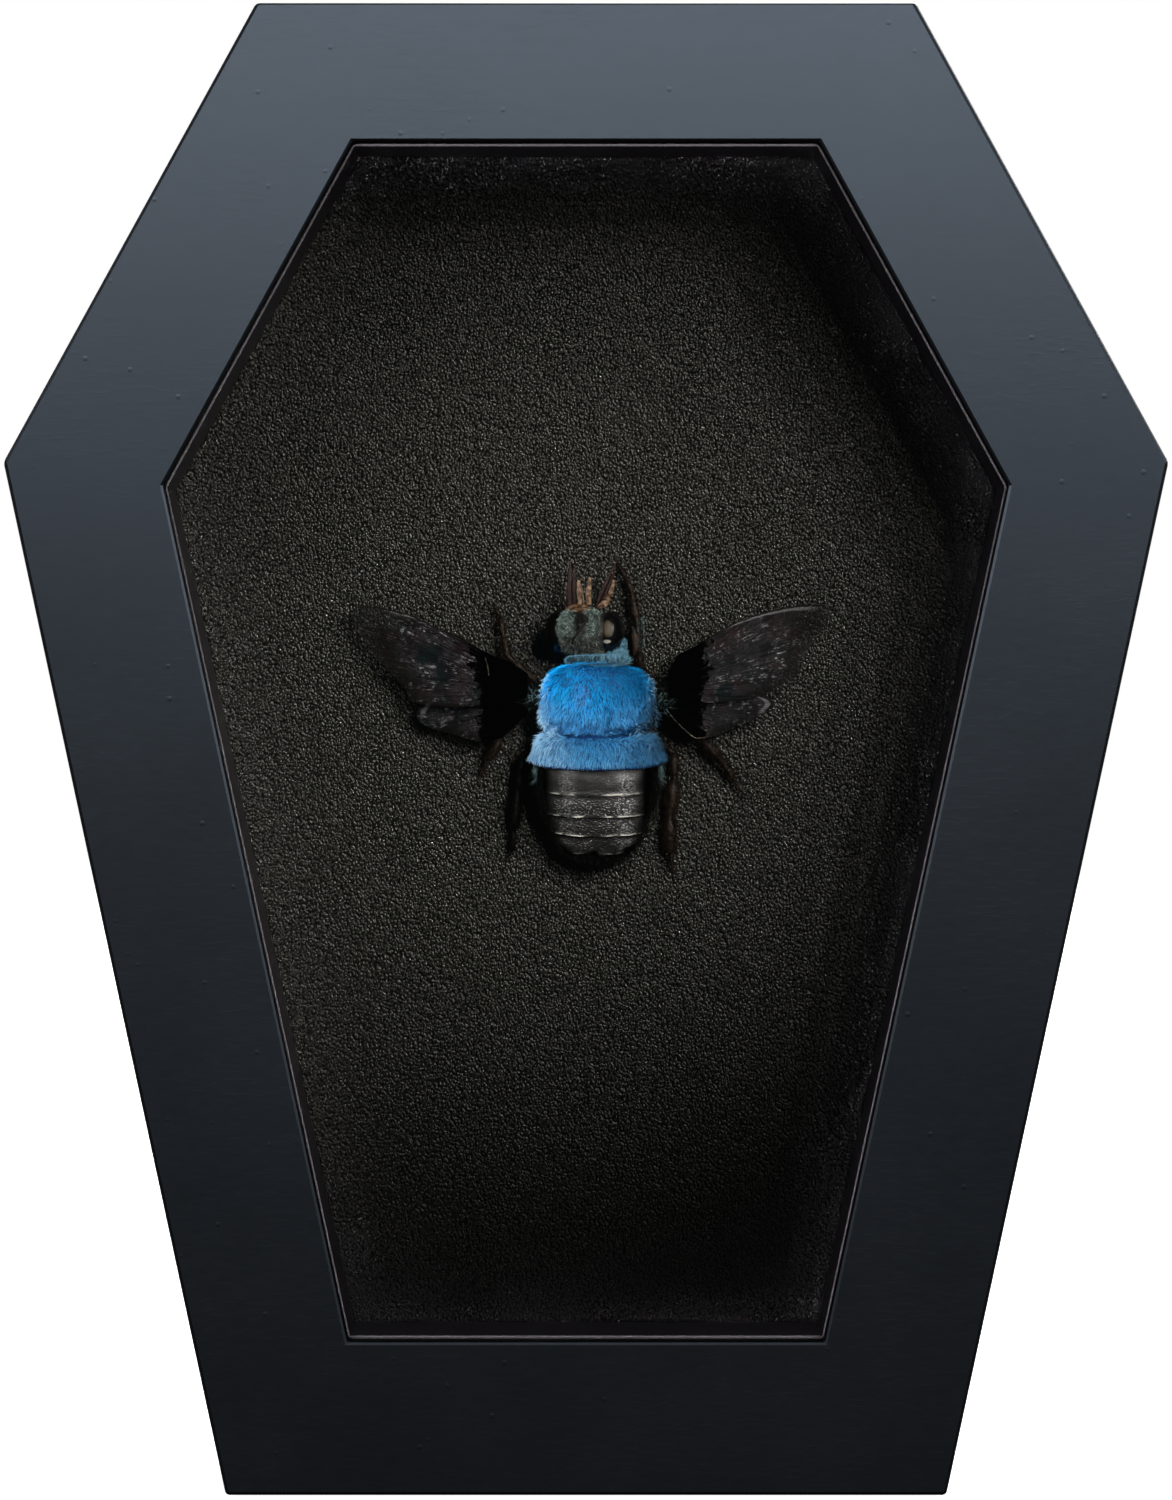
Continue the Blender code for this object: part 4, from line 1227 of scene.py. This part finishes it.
for side, name in ((-1, "left"), (1, "right")):
    coat("wing_root_tuft_" + name, roundedSkin(onBee(side * 6.9, 0.5, 5.2), (1.0, 0.7, 1.1),
                                               detail=(20, 14)),
         {"Density": 9.0, "Length": 1.3, "Shortest": 0.3,
          "Thickness": 0.04, "Lift": 0.4, "Disorder": 0.5, "Droop": 0.3,
          "Tuft Size": 0.5, "Tufting": 1.2, "Comb": (side * 1.0, 0.0, -0.2),
          "Seed": 80 + side}, tuftHair, "blue_pile", ("thorax",))
    coat("wing_root_fur_" + name, roundedSkin(onBee(side * 6.9, 0.5, 5.1), (1.1, 0.8, 1.3),
                                              detail=(20, 14)),
         {"Density": 60.0, "Length": 1.1, "Shortest": 0.5,
          "Thickness": 0.04, "Lift": 0.4, "Disorder": 0.4, "Droop": 0.2,
          "Comb": (side * 1.0, 0.0, -0.2), "Seed": 84 + side}, blackHair, "blue_pile",
         ("thorax",))
print("wings done")


# Legs: joints as across, up and out, with the thickness of each segment
claw = {"first": 0.75, "others": 0.5, "spread": 0.3, "out": 0.25, "bend": (0.05, 0.12),
        "radii": (0.07, 0.045, 0.012)}
legs = {
    "foreleg_left": ([(-6.2, 1.8, 1.2), (-9.5, 4.8, 2.1), (-9.9, 6.9, 1.7), (-10.3, 9.0, 1.1),
                      (-10.8, 9.9, 0.7)], (0.60, 0.62, 0.55, 0.30), (0.0, 0.0, 0.6)),
    "foreleg_right": ([(4.6, 3.4, 1.2), (4.3, 4.9, 1.7), (4.05, 8.4, 1.7), (3.5, 11.6, 1.4),
                       (2.9, 13.1, 1.1), (2.0, 14.5, 0.8)], (0.60, 0.70, 0.72, 0.55, 0.28),
                      (0.1, 0.0, 0.6)),
    "midleg_left": ([(-6.3, -0.3, 1.2), (-7.6, -0.9, 1.9), (-10.2, -3.7, 2.0),
                     (-11.7, -6.3, 1.3), (-12.3, -7.9, 0.7)], (0.45, 0.42, 0.76, 0.30),
                    (-0.4, 0.0, -0.6)),
    "midleg_right": ([(6.3, -0.3, 1.2), (8.6, -2.1, 2.0), (10.9, -3.9, 1.9), (13.1, -6.4, 1.4),
                      (14.4, -8.3, 0.9), (15.2, -9.6, 0.6)], (0.48, 0.55, 0.82, 0.60, 0.18),
                     (0.4, 0.0, -0.6)),
    "hindleg_left": ([(-6.2, -4.3, 0.9), (-7.9, -5.7, 1.4), (-8.5, -9.4, 1.5),
                      (-8.8, -13.6, 1.3), (-9.1, -15.9, 0.7)], (0.60, 1.00, 0.98, 0.48),
                     (-0.2, 0.0, -0.8)),
    "hindleg_right": ([(6.3, -4.3, 0.9), (8.0, -5.4, 1.4), (8.0, -8.0, 1.6), (7.5, -12.1, 1.6),
                       (7.5, -16.2, 1.2), (7.9, -17.8, 0.6)], (0.50, 0.66, 1.16, 1.14, 0.22),
                      (0.2, 0.0, -0.8)),
}


def legRoute(joints, fullness, share):
    # thick in the middle of each segment and pinched at each joint
    route = []
    for index, radius in enumerate(fullness):
        start, end = Vector(joints[index]), Vector(joints[index + 1])
        pinch = 0.62 * min(radius, fullness[index - 1] if index else radius)
        route += [(*start, pinch * share), (*start.lerp(end, 0.28), radius * share),
                  (*start.lerp(end, 0.75), 0.88 * radius * share)]
    return smoothPath(route + [(*joints[-1], 0.05)], len(route) * 5)


for name, (joints, fullness, comb) in legs.items():
    pale = name != "hindleg_left"
    finish = shinFinish if pale else limbFinish
    core = tubes([legRoute(joints, fullness, 0.66)], 12, finish)
    coat(name + "_bristles", core.copy(), {
        "Density": 34.0, "Length": 0.95, "Shortest": 0.35,
        "Thickness": 0.026, "Lift": 0.5, "Disorder": 0.35, "Droop": 0.2,
        "Whorl": joints[0], "Pull": 0.6, "Comb": comb,
        "Seed": 50 + len(name)}, brownHair if pale else blackHair, "bristly_leg", (name,))
    claws = []
    for index, (across, up, out) in enumerate(joints[-1:-4:-1]):
        # a pair of claws at the foot, and pairs of spurs at the two joints before it
        far, side = claw["others" if index else "first"], math.copysign(1.0, across)
        for spread in (-claw["spread"], claw["spread"]):
            end = (across + side * far * 0.5, up + comb[2] * far + spread, out + claw["out"])
            bend = (0.5 * (across + end[0]) + claw["bend"][0] * side, 0.5 * (up + end[1]),
                    0.5 * (out + end[2]) + claw["bend"][1])
            claws.append([(*spot, radius) for spot, radius in
                          zip(((across, up, out), bend, end), claw["radii"])])
    core = joined([core, tubes([smoothPath(path, 9) for path in claws], 6, limbFinish)])
    piece(name + "_limb", core, finish, (name,))

# the right foreleg's smooth golden plate, and the pale fringe beside it
plate = bladeMesh([(3.75, 4.9, 2.3, 0.10), (3.9, 5.6, 2.6, 0.30), (3.85, 6.8, 2.6, 0.34),
                   (3.6, 8.0, 2.4, 0.12)])
piece("foreleg_right_plate", plate, shinFinish, ("foreleg_right",))
coat("foreleg_right_fringe", roundedSkin(onBee(4.45, 6.9, 2.1), (0.25, 0.4, 1.8),
                                         detail=(20, 14)),
     {"Density": 24.0, "Length": 0.75, "Shortest": 0.5,
      "Thickness": 0.032, "Lift": 0.3, "Disorder": 0.2, "Droop": 0.15,
      "Tuft Size": 0.5, "Tufting": 1.0, "Comb": (1.0, 0.0, -0.3), "Seed": 61},
     tuftHair, "bristly_leg", ("foreleg_right",))
print("legs done")

pointLights()
